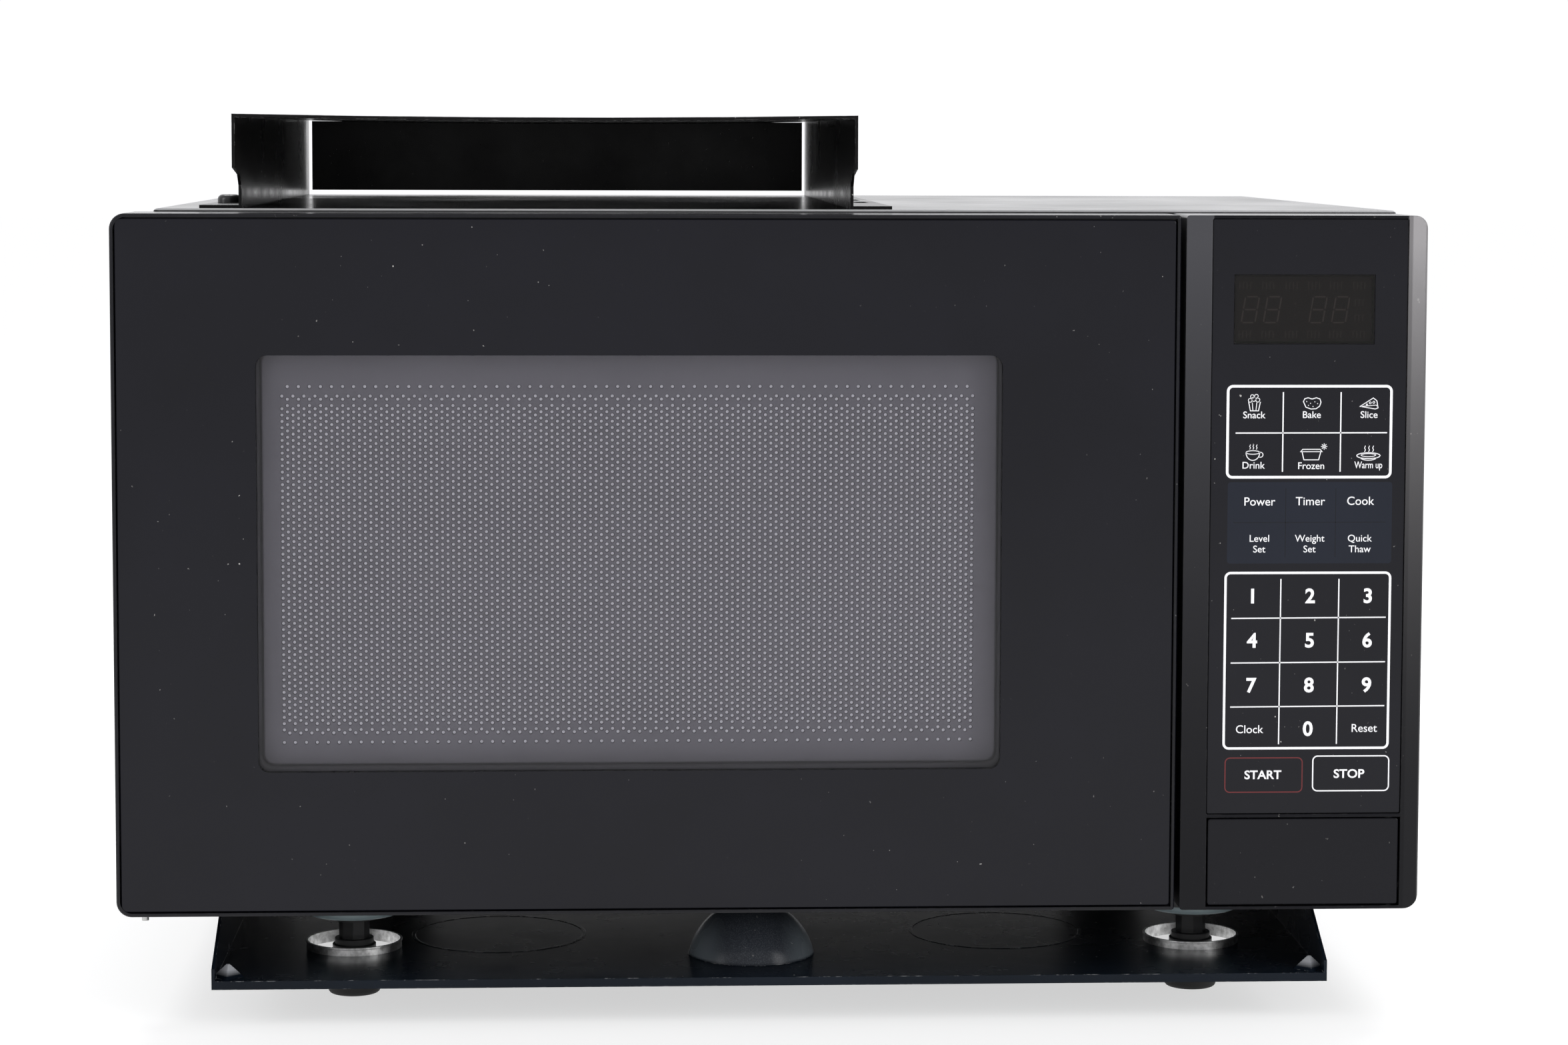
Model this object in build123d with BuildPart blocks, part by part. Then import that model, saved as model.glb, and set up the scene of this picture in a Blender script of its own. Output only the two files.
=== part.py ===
"""Built-in / worktop microwave oven with a hat-section top bracket and a formed pan under its base.

Millimetres, +Z up. The row's origin is the middle of the overall footprint on the resting plane.
Inside this script every piece is laid out from three working planes of the oven itself:
  x - sideways from the middle of the front, y - backwards from the front face,
  z - upwards from the bottom edge of the front face,
and P(x, y, z) turns those into the row frame.
"""
from build123d import *
from math import cos, sin, radians, pi, sqrt
import os

os.makedirs("parts", exist_ok=True)

# ---------------------------------------------------------------- driving dimensions
front_w, front_h = 510.0, 273.0          # door + control panel face
depth_all = 393.0                        # front face to the tip of the cord bushing
foot_h = 46.0                            # resting plane to the bottom edge of the front
asm_d = 38.5                             # depth of the door / panel in front of the cabinet
case_l, case_r = -243.1, 250.4           # outer faces of the casing's sides
case_top, case_back = 274.2, 388.0       # outer faces of its top and its rear edge
sheet = 0.8                              # casing and cavity steel
door_r = 157.9                           # right edge of the door
panel_l = 160.0                          # left edge of the control panel
door_back = 36.8                         # rear plane of the closed door
rim = 1.4                                # rim round the door glass
win = (-199.8, 88.8, 56.4, 218.5)        # clear window in the glass: x0, x1, z0, z1
scr = (-198.7, 88.0, 57.5, 219.5)        # raised part of the screen plate
cav = (-226.0, 104.0, 24.0, 244.0)       # cavity opening: x0, x1, z0, z1
cav_back = 366.0                         # inside face of the cavity's rear wall
hinge_x, hinge_y, pin_r = -247.7, 31.0, 3.0
tt_x, tt_y = -61.0, 202.0                # turntable axis
roller_r, roller_R, roller_w = 8.0, 89.25, 4.5
button = (170.9, 246.5, 1.7, 36.1)       # door release button: x0, x1, z0, z1
button_travel = 5.0
foot_x, foot_y0, foot_y1 = 171.8, 70.0, 345.0   # feet: half spacing and the two rows
foot_cx = 3.9
pan = (-219.5, 220.5, 8.0, 372.0)        # pan under the base: x0, x1, y0, y1
pan_top, pan_t = -27.3, 1.2              # upper face of the pan's floor, its sheet
base_z = 2.0                             # underside of the base sheet
brk_l, brk_r = -209.8, 33.3              # outer faces of the top bracket's walls
brk_t, brk_h = 1.2, 37.0                 # its sheet and height over the casing

fy0, fz0 = -depth_all / 2, foot_h


def P(x, y, z):
    return (x, fy0 + y, fz0 + z)


def front(y):
    """Plane facing the user at depth y: local x is x, local y is z. extrude(-d) goes backwards."""
    return Plane(origin=P(0, y, 0), x_dir=(1, 0, 0), z_dir=(0, -1, 0))


def side(x):
    """Plane at x facing +X: local x is y, local y is z. extrude(d) goes towards +X."""
    return Plane(origin=P(x, 0, 0), x_dir=(0, 1, 0), z_dir=(1, 0, 0))


def level(z):
    """Horizontal plane at z: local x is x, local y is y. extrude(d) goes up."""
    return Plane(origin=P(0, 0, z), x_dir=(1, 0, 0), z_dir=(0, 0, 1))


def box(x0, x1, y0, y1, z0, z1, mode=Mode.ADD):
    """A block by its six faces, added to the part being built."""
    with Locations(P((x0 + x1) / 2, (y0 + y1) / 2, (z0 + z1) / 2)):
        Box(x1 - x0, y1 - y0, z1 - z0, mode=mode)


def post(x, y, z0, z1, r, mode=Mode.ADD):
    """An upright cylinder."""
    with Locations(P(x, y, (z0 + z1) / 2)):
        Cylinder(r, z1 - z0, mode=mode)


def peg_y(x, z, y0, y1, r, mode=Mode.ADD):
    """A cylinder along the front-to-back direction."""
    with Locations(P(x, (y0 + y1) / 2, z)):
        Cylinder(r, y1 - y0, rotation=(90, 0, 0), mode=mode)


def peg_x(y, z, x0, x1, r, mode=Mode.ADD):
    """A cylinder along the sideways direction."""
    with Locations(P((x0 + x1) / 2, y, z)):
        Cylinder(r, x1 - x0, rotation=(0, 90, 0), mode=mode)


def rect(x0, x1, z0, z1, r=0.0):
    """A rectangle by its edges in the sketch being drawn, with corner radius r."""
    with Locations(((x0 + x1) / 2, (z0 + z1) / 2)):
        if r:
            RectangleRounded(x1 - x0, z1 - z0, r)
        else:
            Rectangle(x1 - x0, z1 - z0)


def save(part, label):
    part.label = label
    export_step(part, f"parts/{label}.step")


# ================================================================ DOOR
# Moulded frame: rounded left corners, square right ones, a rim round the glass, a solid hinge stile.
with BuildPart() as door_frame:
    with BuildSketch(front(0)) as outline:
        rect(-255, door_r, 0, front_h)
        fillet(outline.vertices().group_by(Axis.X)[0], radius=6)
        fillet(outline.vertices().group_by(Axis.X)[-1], radius=1.2)
    extrude(amount=-door_back)
    chamfer(door_frame.faces().sort_by(Axis.Y)[0].outer_wire().edges(), length=0.5)
    # pocket for the glass
    with BuildSketch(front(0)) as pocket:
        rect(-255 + rim, door_r - rim, rim, front_h - rim)
        fillet(pocket.vertices().group_by(Axis.X)[0], radius=4.8)
    extrude(amount=-4.4, mode=Mode.SUBTRACT)
    # opening behind the glass ledge, then the pocket for the inner panel
    with BuildSketch(front(4.4)):
        rect(-226, 134, 20, 253, 2)
    extrude(amount=-40, mode=Mode.SUBTRACT)
    with BuildSketch(front(7.6)):
        rect(-240, door_r - 3, 3, front_h - 3, 2)
    extrude(amount=-40, mode=Mode.SUBTRACT)
    # pin holes in the hinge stile, upper notch for the hinge tab
    post(hinge_x, hinge_y, -1, 11, pin_r + 0.06, Mode.SUBTRACT)
    box(-256, -236, 22, 40, 263.9, 268.0, Mode.SUBTRACT)
    post(hinge_x, hinge_y, 267, 271.8, pin_r + 0.06, Mode.SUBTRACT)
    # recess in the stile's back for the lower hinge leg
    box(-243.6, -239, 36.2, 40, -1, 18, Mode.SUBTRACT)
    # rounded rear edge of the stile
    with BuildSketch(level(-1)):
        with BuildLine():
            Polyline((-256, 31.8), (-255, 31.8), (-250, 36.8), (-250, 38), (-256, 38), close=True)
        make_face()
    extrude(amount=front_h + 2, mode=Mode.SUBTRACT)
    # guide posts for the latch slider and the lug that its spring pushes against
    box(141.6, 152.2, 17.0, 19.0, 226, 230, Mode.ADD)
    box(144.0, 154.9, 17.8, 26.4, 232.6, 235.0, Mode.ADD)
    box(151.0, 154.9, 7.6, 26.4, 225.6, 235.0, Mode.ADD)
save(door_frame.part, "door_frame")

with BuildPart() as door_glass:
    with BuildSketch(front(0.4)) as g:
        rect(-255 + rim + 0.45, door_r - rim - 0.45, rim + 0.45, front_h - rim - 0.45)
        fillet(g.vertices().group_by(Axis.X)[0], radius=4.4)
        fillet(g.vertices().group_by(Axis.X)[-1], radius=0.8)
    extrude(amount=-4.0)
    chamfer(door_glass.faces().sort_by(Axis.Y)[0].outer_wire().edges(), length=0.5)
save(door_glass.part, "door_glass")

# Screen plate: a raised rectangle with rounded corners standing 5 mm forward of its flange.
with BuildPart() as door_screen:
    with BuildSketch(front(16.0)):
        rect(scr[0] - 12, scr[1] + 12, scr[2] - 12, scr[3] + 12, 8)
    extrude(amount=-0.8)
    with BuildSketch(front(12.0)):
        rect(scr[0], scr[1], scr[2], scr[3], 3.5)
    extrude(amount=-4.0)
    with BuildSketch(front(12.8)):
        rect(scr[0] + 0.8, scr[1] - 0.8, scr[2] + 0.8, scr[3] - 0.8, 2.7)
    extrude(amount=-6.0, mode=Mode.SUBTRACT)
    fillet(door_screen.faces().sort_by(Axis.Y)[0].edges(), radius=0.6)
save(door_screen.part, "door_screen")

# Inner steel panel: a web round the screen, and two walls that form the choke channel.
with BuildPart() as door_panel:
    with BuildSketch(front(16.8)):
        rect(-238.5, 137.5, 8, 265, 3)
        with Locations(((scr[0] + scr[1]) / 2, (scr[2] + scr[3]) / 2)):
            RectangleRounded(scr[1] - scr[0] + 10, scr[3] - scr[2] + 10, 4, mode=Mode.SUBTRACT)
    extrude(amount=-0.8)
    with BuildSketch(front(17.6)):
        rect(-238.5, 137.5, 8, 265, 3)
        with Locations((-50.5, 136.5)):
            RectangleRounded(376 - 1.6, 257 - 1.6, 2.2, mode=Mode.SUBTRACT)
    extrude(amount=-16.4)
    with BuildSketch(front(17.6)):
        rect(-221.5, 100.5, 30, 244, 3)
        with Locations((-60.5, 137)):
            RectangleRounded(322 - 1.6, 214 - 1.6, 2.2, mode=Mode.SUBTRACT)
    extrude(amount=-16.4)
save(door_panel.part, "door_panel")

with BuildPart() as door_inner_film:
    with BuildSketch(front(17.6)):
        rect(-220.4, 99.4, 31.1, 242.9, 2)
    extrude(amount=-0.6)
save(door_inner_film.part, "door_inner_film")

# Plastic ring that closes the choke channel on the cavity side.
with BuildPart() as choke_cover:
    with BuildSketch(front(34.0)):
        rect(-239.7, door_r - 3.3, 3.3, front_h - 3.3, 2)
        with Locations((-60.5, 137)):
            RectangleRounded(316, 208, 5, mode=Mode.SUBTRACT)
    extrude(amount=-(door_back - 34.0))
    # raised bead round the opening
    with BuildSketch(front(32.0)):
        rect(-220.4, 99.4, 31.1, 242.9, 2)
        with Locations((-60.5, 137)):
            RectangleRounded(316, 208, 5, mode=Mode.SUBTRACT)
    extrude(amount=-2.0)
    # slots for the two latch hooks, notches for the hinge legs and for the hinge tab
    box(143.0, 151.2, 30, 40, 66, 86, Mode.SUBTRACT)
    box(143.0, 151.2, 30, 40, 190, 210, Mode.SUBTRACT)
    box(-241, -226, 36.2, 40, 2, 18, Mode.SUBTRACT)
    box(-241, -226, 36.2, 40, 248, 271, Mode.SUBTRACT)
    box(-241, -235, 30, 40, 263.9, 268.0, Mode.SUBTRACT)
save(choke_cover.part, "choke_cover")

# Slider with two hooks. Each nose hangs over a catch in the interlock bracket.
with BuildPart() as latch_hooks:
    box(144.6, 149.6, 20.4, 27.0, 62, 222)
    for hz in (76.0, 200.0):
        with BuildSketch(side(145.1)):
            with BuildLine():
                Polyline((27, hz + 5), (27, hz - 3), (49.0, hz - 3), (50.5, hz - 5.2), (55, hz - 5.2),
                         (58, hz - 1), (55.5, hz + 3.5), (40, hz + 5), close=True)
            make_face()
        extrude(amount=4.0)
    post(147.1, 22.1, 222, 226, 1.4)
save(latch_hooks.part, "latch_hooks")


def coil(x, y, z, r, wire, pitch, height, axis):
    """Open compression spring with its low end at (x, y, z), made of one swept round wire."""
    path = Helix(pitch=pitch, height=height, radius=r, center=(0, 0, 0), direction=(0, 0, 1))
    start = Plane(origin=path @ 0, z_dir=path % 0)
    wire_part = sweep(start * Circle(wire / 2), path=path)
    where = Location(P(x, y, z)) * (Location((0, 0, 0), (-90, 0, 0)) if axis == "Y" else Location())
    return where * wire_part


latch_coil = coil(147.1, 22.1, 222.4, 2.3, 0.6, 1.7, 9.4, "Z")
with BuildPart() as latch_spring:
    add(latch_coil)
save(latch_spring.part, "latch_spring")

# ---------------------------------------------------------------- hinges
with BuildPart() as hinge_lower:
    with BuildSketch(level(-3.0)):
        with Locations((hinge_x, hinge_y)):
            Circle(6)
        rect(-250, -232, hinge_y, 38.5)
    extrude(amount=1.6)
    box(-243, -228, 37.1, 38.5, -3, 16)
    post(hinge_x, hinge_y, -3, 9.5, pin_r)
    post(hinge_x, hinge_y, -7.6, -3, 1.4)
save(hinge_lower.part, "hinge_lower")

with BuildPart() as hinge_upper:
    with BuildSketch(level(265.0)):
        with Locations((hinge_x, hinge_y)):
            Circle(5.5)
        rect(-250, -240.5, hinge_y, 38.5)
    extrude(amount=1.6)
    box(-243, -228, 37.1, 38.5, 250, 268)
    post(hinge_x, hinge_y, 265, 271.0, pin_r)
save(hinge_upper.part, "hinge_upper")

# ================================================================ CONTROL PANEL
with BuildPart() as control_panel:
    with BuildSketch(front(0)) as cp:
        rect(panel_l, 255, 0, front_h)
        fillet(cp.vertices().group_by(Axis.X)[-1], radius=5.5)
        fillet(cp.vertices().group_by(Axis.X)[0], radius=1.2)
    extrude(amount=-asm_d)
    # the right bezel slopes back towards the side
    with BuildSketch(level(-1)):
        with BuildLine():
            Polyline((248.6, -0.5), (248.6, 0), (254.3, 2.1), (255, 3.0), (257, 3.0), (257, -0.5), close=True)
        make_face()
    extrude(amount=front_h + 2, mode=Mode.SUBTRACT)
    # hollow back
    with BuildSketch(front(2.6)):
        rect(panel_l + 2, 255 - 2.2, 2.2 - 1.0, front_h - 2.2, 3)
    extrude(amount=-50, mode=Mode.SUBTRACT)
    # shallow recess for the overlay, opening of the button, display window
    with BuildSketch(front(0)):
        rect(170.1, 247.1, 37.9, 271.8, 0.8)
    extrude(amount=-1.5, mode=Mode.SUBTRACT)
    box(170.3, 247.1, -1, 4, 1.2, 36.6, Mode.SUBTRACT)
    box(179.6, 233.8, -1, 4, 223.4, 249.6, Mode.SUBTRACT)
    # collar that guides the button and the wall behind it that holds the spring
    with BuildSketch(front(2.6)):
        rect(168.6, 248.8, 1.2, 38.4)
        with Locations(((170.3 + 247.1) / 2, (1.2 + 36.6) / 2)):
            Rectangle(247.1 - 170.3, 36.6 - 1.2 , mode=Mode.SUBTRACT)
    extrude(amount=-14)
    box(200, 217.4, 26.0, 28.0, 1.2, 44)
    box(200, 202, 10, 28, 37.6, 44)
    box(215.4, 217.4, 10, 28, 37.6, 44)
    box(200, 217.4, 10, 28, 42, 44)
    # board posts
    for bx in (173.0, 243.0):
        for bz in (70.0, 205.0, 262.0):
            peg_y(bx, bz, 2.0, 12.0, 2.6)
save(control_panel.part, "control_panel")

with BuildPart() as keypad_overlay:
    with BuildSketch(front(0.5)):
        rect(170.5, 246.8, 38.2, 271.5, 0.6)
        with Locations(((178.8 + 234.2) / 2, (222.9 + 250.1) / 2)):
            Rectangle(234.2 - 178.8, 250.1 - 222.9, mode=Mode.SUBTRACT)
    extrude(amount=-1.0)
save(keypad_overlay.part, "keypad_overlay")

with BuildPart() as display_module:
    box(180.0, 233.4, 2.9, 8.6, 223.8, 249.2)
    fillet(display_module.edges().filter_by(Axis.Y), radius=1.0)
    for k in range(12):
        box(184 + 4.0 * k, 184.6 + 4.0 * k, 8.6, 12.0, 224.6, 225.2)
save(display_module.part, "display_module")

with BuildPart() as control_board:
    box(168.0, 248.0, 12.0, 13.6, 62, 266)
    box(176, 196, 13.6, 29, 80, 100)          # relays
    box(200, 220, 13.6, 29, 80, 100)
    box(206, 240, 13.6, 34, 120, 156)         # small mains transformer
    peg_y(184, 180, 13.6, 22, 6.5)            # buzzer
    peg_y(205, 185, 13.6, 28, 5.0)            # smoothing capacitors
    peg_y(220, 185, 13.6, 28, 5.0)
    box(180, 200, 13.6, 17, 140, 156)         # controller chip
    box(172, 178, 13.6, 24, 210, 250)         # connectors
save(control_board.part, "control_board")

with BuildPart() as release_button:
    with BuildSketch(front(0.5)):
        rect(button[0], button[1], button[2], button[3], 1.2)
    extrude(amount=-10.0)
    fillet(release_button.faces().sort_by(Axis.Y)[0].edges(), radius=0.5)
    box(button[0] + 2, button[1] - 2, 2.6, 12, button[2] + 2, button[3] - 2, Mode.SUBTRACT)
    # spring cup and the pusher that reaches the lever
    peg_y(208.7, 12, 2.0, 10.5, 6.0)
    peg_y(208.7, 12, 4.0, 12.0, 4.6, Mode.SUBTRACT)
    box(222, 230, 2.0, 42.5, 14.6, 22)
save(release_button.part, "release_button")

button_coil = coil(208.7, 4.6, 12, 3.6, 0.7, 2.9, 20.6, "Y")
with BuildPart() as button_spring:
    add(button_coil)
save(button_spring.part, "button_spring")

# ================================================================ LATCH MECHANISM BEHIND THE FRONT PLATE
lever_y, lever_z = 46.0, 46.0
with BuildPart() as release_lever:
    peg_x(lever_y, lever_z, 139.2, 232.0, 2.5)
    with BuildSketch(side(222.0)):                       # arm behind the button's pusher
        with BuildLine():
            Polyline((42.9, 14), (46.5, 14), (48.6, 46), (43.6, 46), close=True)
        make_face()
    extrude(amount=8.0)
    with BuildSketch(side(145.1)):                       # arm under the lower hook
        with BuildLine():
            Polyline((43.6, 46), (48.6, 46), (61.6, 60), (61.6, 66.6), (59.0, 66.6), (59.0, 61), (43.6, 50), close=True)
        make_face()
    extrude(amount=4.0)
save(release_lever.part, "release_lever")

with BuildPart() as interlock_bracket:
    # flange on the front plate
    box(139, 158.4, 39.3, 41.3, 38, 226)
    # web with the switch pockets, a stiffening rib, and a catch shelf under each hook
    box(156.4, 158.4, 40.3, 84, 52, 226)
    box(157.4, 161.0, 62, 82, 62, 218)
    box(142.0, 157.4, 40.3, 48.0, 63.6, 67.0)
    box(142.0, 157.4, 40.3, 48.0, 187.6, 191.0)
    # ears that carry the lever shaft
    box(138.6, 141.0, 40.3, 54, 38.6, 54)
    box(152.4, 157.4, 40.3, 54, 38.6, 55.2)
    # a window for each hook, and the bore for the lever shaft
    box(142.4, 152.4, 38, 42, 67.0, 86, Mode.SUBTRACT)
    box(142.4, 152.4, 38, 42, 191.0, 210, Mode.SUBTRACT)
    peg_x(lever_y, lever_z, 136, 160, 2.56, Mode.SUBTRACT)
save(interlock_bracket.part, "interlock_bracket")

with BuildPart() as interlock_switches:
    for sy, sz in ((62.0, 80.0), (62.0, 96.0), (62.0, 190.0)):
        box(146.0, 156.4, sy, sy + 20, sz, sz + 10)
        box(149.5, 152.5, sy - 1.2, sy, sz + 2, sz + 4)
save(interlock_switches.part, "interlock_switches")

# ================================================================ CABINET
with BuildPart() as front_plate:
    with BuildSketch(front(asm_d)):
        rect(case_l + sheet, case_r - sheet, 3.4, case_top - sheet, 2)
        rect_c = ((cav[0] + cav[1]) / 2, (cav[2] + cav[3]) / 2)
        with Locations(rect_c):
            RectangleRounded(cav[1] - cav[0], cav[3] - cav[2], 6, mode=Mode.SUBTRACT)
        with Locations(((166 + 244) / 2, (14 + 262) / 2)):
            RectangleRounded(78, 248, 4, mode=Mode.SUBTRACT)
        with Locations((147.4, 76), (147.4, 200)):
            Rectangle(10, 20, mode=Mode.SUBTRACT)
    extrude(amount=-sheet)
save(front_plate.part, "front_plate")

with BuildPart() as outer_casing:
    with BuildSketch(front(asm_d)) as casing_profile:
        with BuildLine():
            Polyline((case_l, base_z - 0.6), (case_l, case_top), (case_r, case_top), (case_r, base_z - 0.6),
                     (case_r - sheet, base_z - 0.6), (case_r - sheet, case_top - sheet),
                     (case_l + sheet, case_top - sheet), (case_l + sheet, base_z - 0.6), close=True)
        make_face()
    extrude(amount=-(case_back - asm_d))
    fillet(outer_casing.edges().filter_by(Axis.Y).group_by(Axis.Z)[-1], radius=2.5)
    # louvre slots: intake low on the right side, outlet high on the left side
    with BuildSketch(side(case_r - 3)):
        with GridLocations(7.0, 34.0, 16, 2):
            with Locations((300, 80)):
                SlotOverall(28, 3.2, rotation=90)
    extrude(amount=6, mode=Mode.SUBTRACT)
    with BuildSketch(side(case_l - 3)):
        with GridLocations(7.0, 34.0, 14, 2):
            with Locations((110, 190)):
                SlotOverall(28, 3.2, rotation=90)
    extrude(amount=6, mode=Mode.SUBTRACT)
    # screw holes of the bracket, in the top
    for hx, hy in ((-218.4, 94), (-218.4, 300), (42.0, 300)):
        post(hx, hy, case_top - 3, case_top + 1, 2.0, Mode.SUBTRACT)
save(outer_casing.part, "outer_casing")

feet = [(foot_cx + s * foot_x, fy) for s in (-1, 1) for fy in (foot_y0, foot_y1)]
with BuildPart() as base_plate:
    box(case_l + 0.95, case_r - 0.95, 39.3, 387.1, base_z, base_z + sheet)
    # upturned edges inside the casing
    box(case_l + 0.95, case_l + 1.75, 39.3, 387.1, base_z, base_z + 12)
    box(case_r - 1.75, case_r - 0.95, 39.3, 387.1, base_z, base_z + 12)
    # a pressed cup over each foot
    for fx, fy in feet:
        post(fx, fy, -13.0, base_z + 0.4, 19.5)
    fillet(base_plate.faces().group_by(Axis.Z)[0].edges(), radius=1.6)
    for fx, fy in feet:
        post(fx, fy, -12.2, base_z + 2, 18.6, Mode.SUBTRACT)
        post(fx, fy, -15, 0, 4.1, Mode.SUBTRACT)
    # cooling slots behind the transformer
    with BuildSketch(level(base_z - 1)):
        with Locations((205, 303)):
            with GridLocations(8, 30, 7, 1):
                SlotOverall(26, 3, rotation=90)
    extrude(amount=4, mode=Mode.SUBTRACT)
save(base_plate.part, "base_plate")

with BuildPart() as back_panel:
    with BuildSketch(front(387.2)):
        rect(case_l + 0.95, case_r - 0.95, base_z + 1.2, case_top - 0.95, 2)
    extrude(amount=-0.8)
    with BuildSketch(front(386)):
        with Locations((150, 200)):
            with PolarLocations(0, 1):
                with GridLocations(9, 9, 9, 9):
                    Circle(3.0)
        with Locations((-150, 210)):
            with GridLocations(8, 26, 12, 2):
                SlotOverall(20, 3.2, rotation=90)
    extrude(amount=-4, mode=Mode.SUBTRACT)
    peg_y(222, 40, 386, 389, 8.05, Mode.SUBTRACT)
    # pressed stand-off domes that keep the back clear of a wall
    for dx in (-200, 205):
        with Locations(Location(P(dx, 387.9, 110), (-90, 0, 0))):
            Cone(10, 7, 3.4, align=(Align.CENTER, Align.CENTER, Align.MIN))
save(back_panel.part, "back_panel")

with BuildPart() as cord_bushing:
    peg_y(222, 40, 388.0, 393.0, 11.0)
    peg_y(222, 40, 384.0, 388.0, 8.0)
    peg_y(222, 40, 382.0, 384.0, 9.5)
    fillet(cord_bushing.faces().sort_by(Axis.Y)[-1].edges(), radius=1.5)
    peg_y(222, 40, 380, 394, 4.0, Mode.SUBTRACT)
save(cord_bushing.part, "cord_bushing")

# ---------------------------------------------------------------- cavity
with BuildPart() as cavity_wrap:
    with BuildSketch(front(asm_d + sheet)):
        with BuildLine():
            Polyline((cav[0] - sheet, cav[2]), (cav[0] - sheet, cav[3] + sheet), (cav[1] + sheet, cav[3] + sheet),
                     (cav[1] + sheet, cav[2]), (cav[1], cav[2]), (cav[1], cav[3]), (cav[0], cav[3]), (cav[0], cav[2]),
                     close=True)
        make_face()
    extrude(amount=-(cav_back - asm_d - sheet))
    # lamp holes and air holes in the right wall, waveguide port, outlet holes in the left wall
    box(cav[1] - 1, cav[1] + 2, 150, 226, 168, 212, Mode.SUBTRACT)
    with BuildSketch(side(cav[1] - 1)):
        with Locations((100, 222)):
            with GridLocations(6, 6, 9, 4):
                Circle(1.6)
    extrude(amount=3, mode=Mode.SUBTRACT)
    with BuildSketch(side(cav[0] - 2)):
        with Locations((300, 215)):
            with GridLocations(6, 6, 9, 4):
                Circle(1.6)
    extrude(amount=3, mode=Mode.SUBTRACT)
save(cavity_wrap.part, "cavity_wrap")

with BuildPart() as cavity_floor:
    box(cav[0] - sheet, cav[1] + sheet, asm_d + sheet, cav_back, cav[2] - sheet, cav[2])
    # shallow dish that the roller ring runs in
    post(tt_x, tt_y, cav[2] - 3.8, cav[2], 106.0)
    post(tt_x, tt_y, cav[2] - 3.0, cav[2] + 1, 105.2, Mode.SUBTRACT)
    post(tt_x, tt_y, cav[2] - 5, cav[2] + 1, 6.0, Mode.SUBTRACT)
save(cavity_floor.part, "cavity_floor")

with BuildPart() as cavity_rear_wall:
    with BuildSketch(front(cav_back)):
        rect(cav[0] - sheet, cav[1] + sheet, cav[2] - sheet, cav[3] + sheet)
    extrude(amount=-sheet)
    with BuildSketch(front(cav_back - 1)):
        with Locations((-180, 215)):
            with GridLocations(6, 6, 8, 4):
                Circle(1.6)
    extrude(amount=-4, mode=Mode.SUBTRACT)
save(cavity_rear_wall.part, "cavity_rear_wall")

with BuildPart() as waveguide_cover:
    with BuildSketch(side(cav[1] - 0.5)):
        with Locations((188, 190)):
            RectangleRounded(96, 60, 4)
    extrude(amount=0.5)
save(waveguide_cover.part, "waveguide_cover")

with BuildPart() as waveguide:
    box(cav[1] + sheet, 145, 144, 232, 162, 218)
    box(cav[1] + sheet - 1, 144.2, 144.8, 231.2, 162.8, 217.2, Mode.SUBTRACT)
    peg_x(188, 190, 140, 146, 20.0, Mode.SUBTRACT)
save(waveguide.part, "waveguide")

# ---------------------------------------------------------------- turntable drive
with BuildPart() as turntable_motor:
    post(tt_x, tt_y, 6.0, 20.2, 24.5)
    with BuildSketch(level(18.6)):
        with Locations((tt_x, tt_y)):
            SlotOverall(68, 14)
        with Locations((tt_x - 28, tt_y), (tt_x + 28, tt_y)):
            Circle(2.1, mode=Mode.SUBTRACT)
    extrude(amount=1.6)
    box(tt_x - 8, tt_x + 8, tt_y + 20, tt_y + 34, 8, 17)
    post(tt_x, tt_y, 10, 22, 3.06, Mode.SUBTRACT)
save(turntable_motor.part, "turntable_motor")

with BuildPart() as turntable_coupler:
    post(tt_x, tt_y, 11, 24.5, 3.0)                      # drive shaft
    post(tt_x, tt_y, 24.3, 33.0, 9.0)
    with BuildSketch(level(26.0)):
        with Locations((tt_x, tt_y)):
            with PolarLocations(15.0, 3, start_angle=90):
                SlotOverall(22, 9)
    extrude(amount=8.0)
    fillet(turntable_coupler.faces().sort_by(Axis.Z)[-1].edges(), radius=0.8)
save(turntable_coupler.part, "turntable_coupler")

ring_z = cav[2] - 3.0 + 0.3 + roller_r                   # height of the roller axles
with BuildPart() as roller_ring:
    with BuildSketch(level(ring_z - 3.5)):
        with Locations((tt_x, tt_y)):
            Circle(85.0)
            Circle(79.0, mode=Mode.SUBTRACT)
    extrude(amount=7.0)
    fillet(roller_ring.edges().filter_by(GeomType.CIRCLE), radius=1.2)
    for a in (90, 210, 330):
        c, s = cos(radians(a)), sin(radians(a))
        for r0, r1, rr in ((84.0, 93.4, 2.0), (84.0, 86.6, 3.4)):
            with Locations(Location(P(tt_x + c * (r0 + r1) / 2, tt_y + s * (r0 + r1) / 2, ring_z),
                                    Plane(origin=(0, 0, 0), z_dir=(c, s, 0)).location.orientation)):
                Cylinder(rr, r1 - r0)
save(roller_ring.part, "roller_ring")

for tag, a in (("a", 90), ("b", 210), ("c", 330)):
    c, s = cos(radians(a)), sin(radians(a))
    with BuildPart(Plane(origin=P(tt_x + c * roller_R, tt_y + s * roller_R, ring_z), z_dir=(c, s, 0))) as roller:
        Cylinder(roller_r, roller_w)
        fillet(roller.edges().filter_by(GeomType.CIRCLE), radius=0.8)
        Cylinder(2.06, roller_w + 2, mode=Mode.SUBTRACT)
    save(roller.part, f"roller_{tag}")

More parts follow.
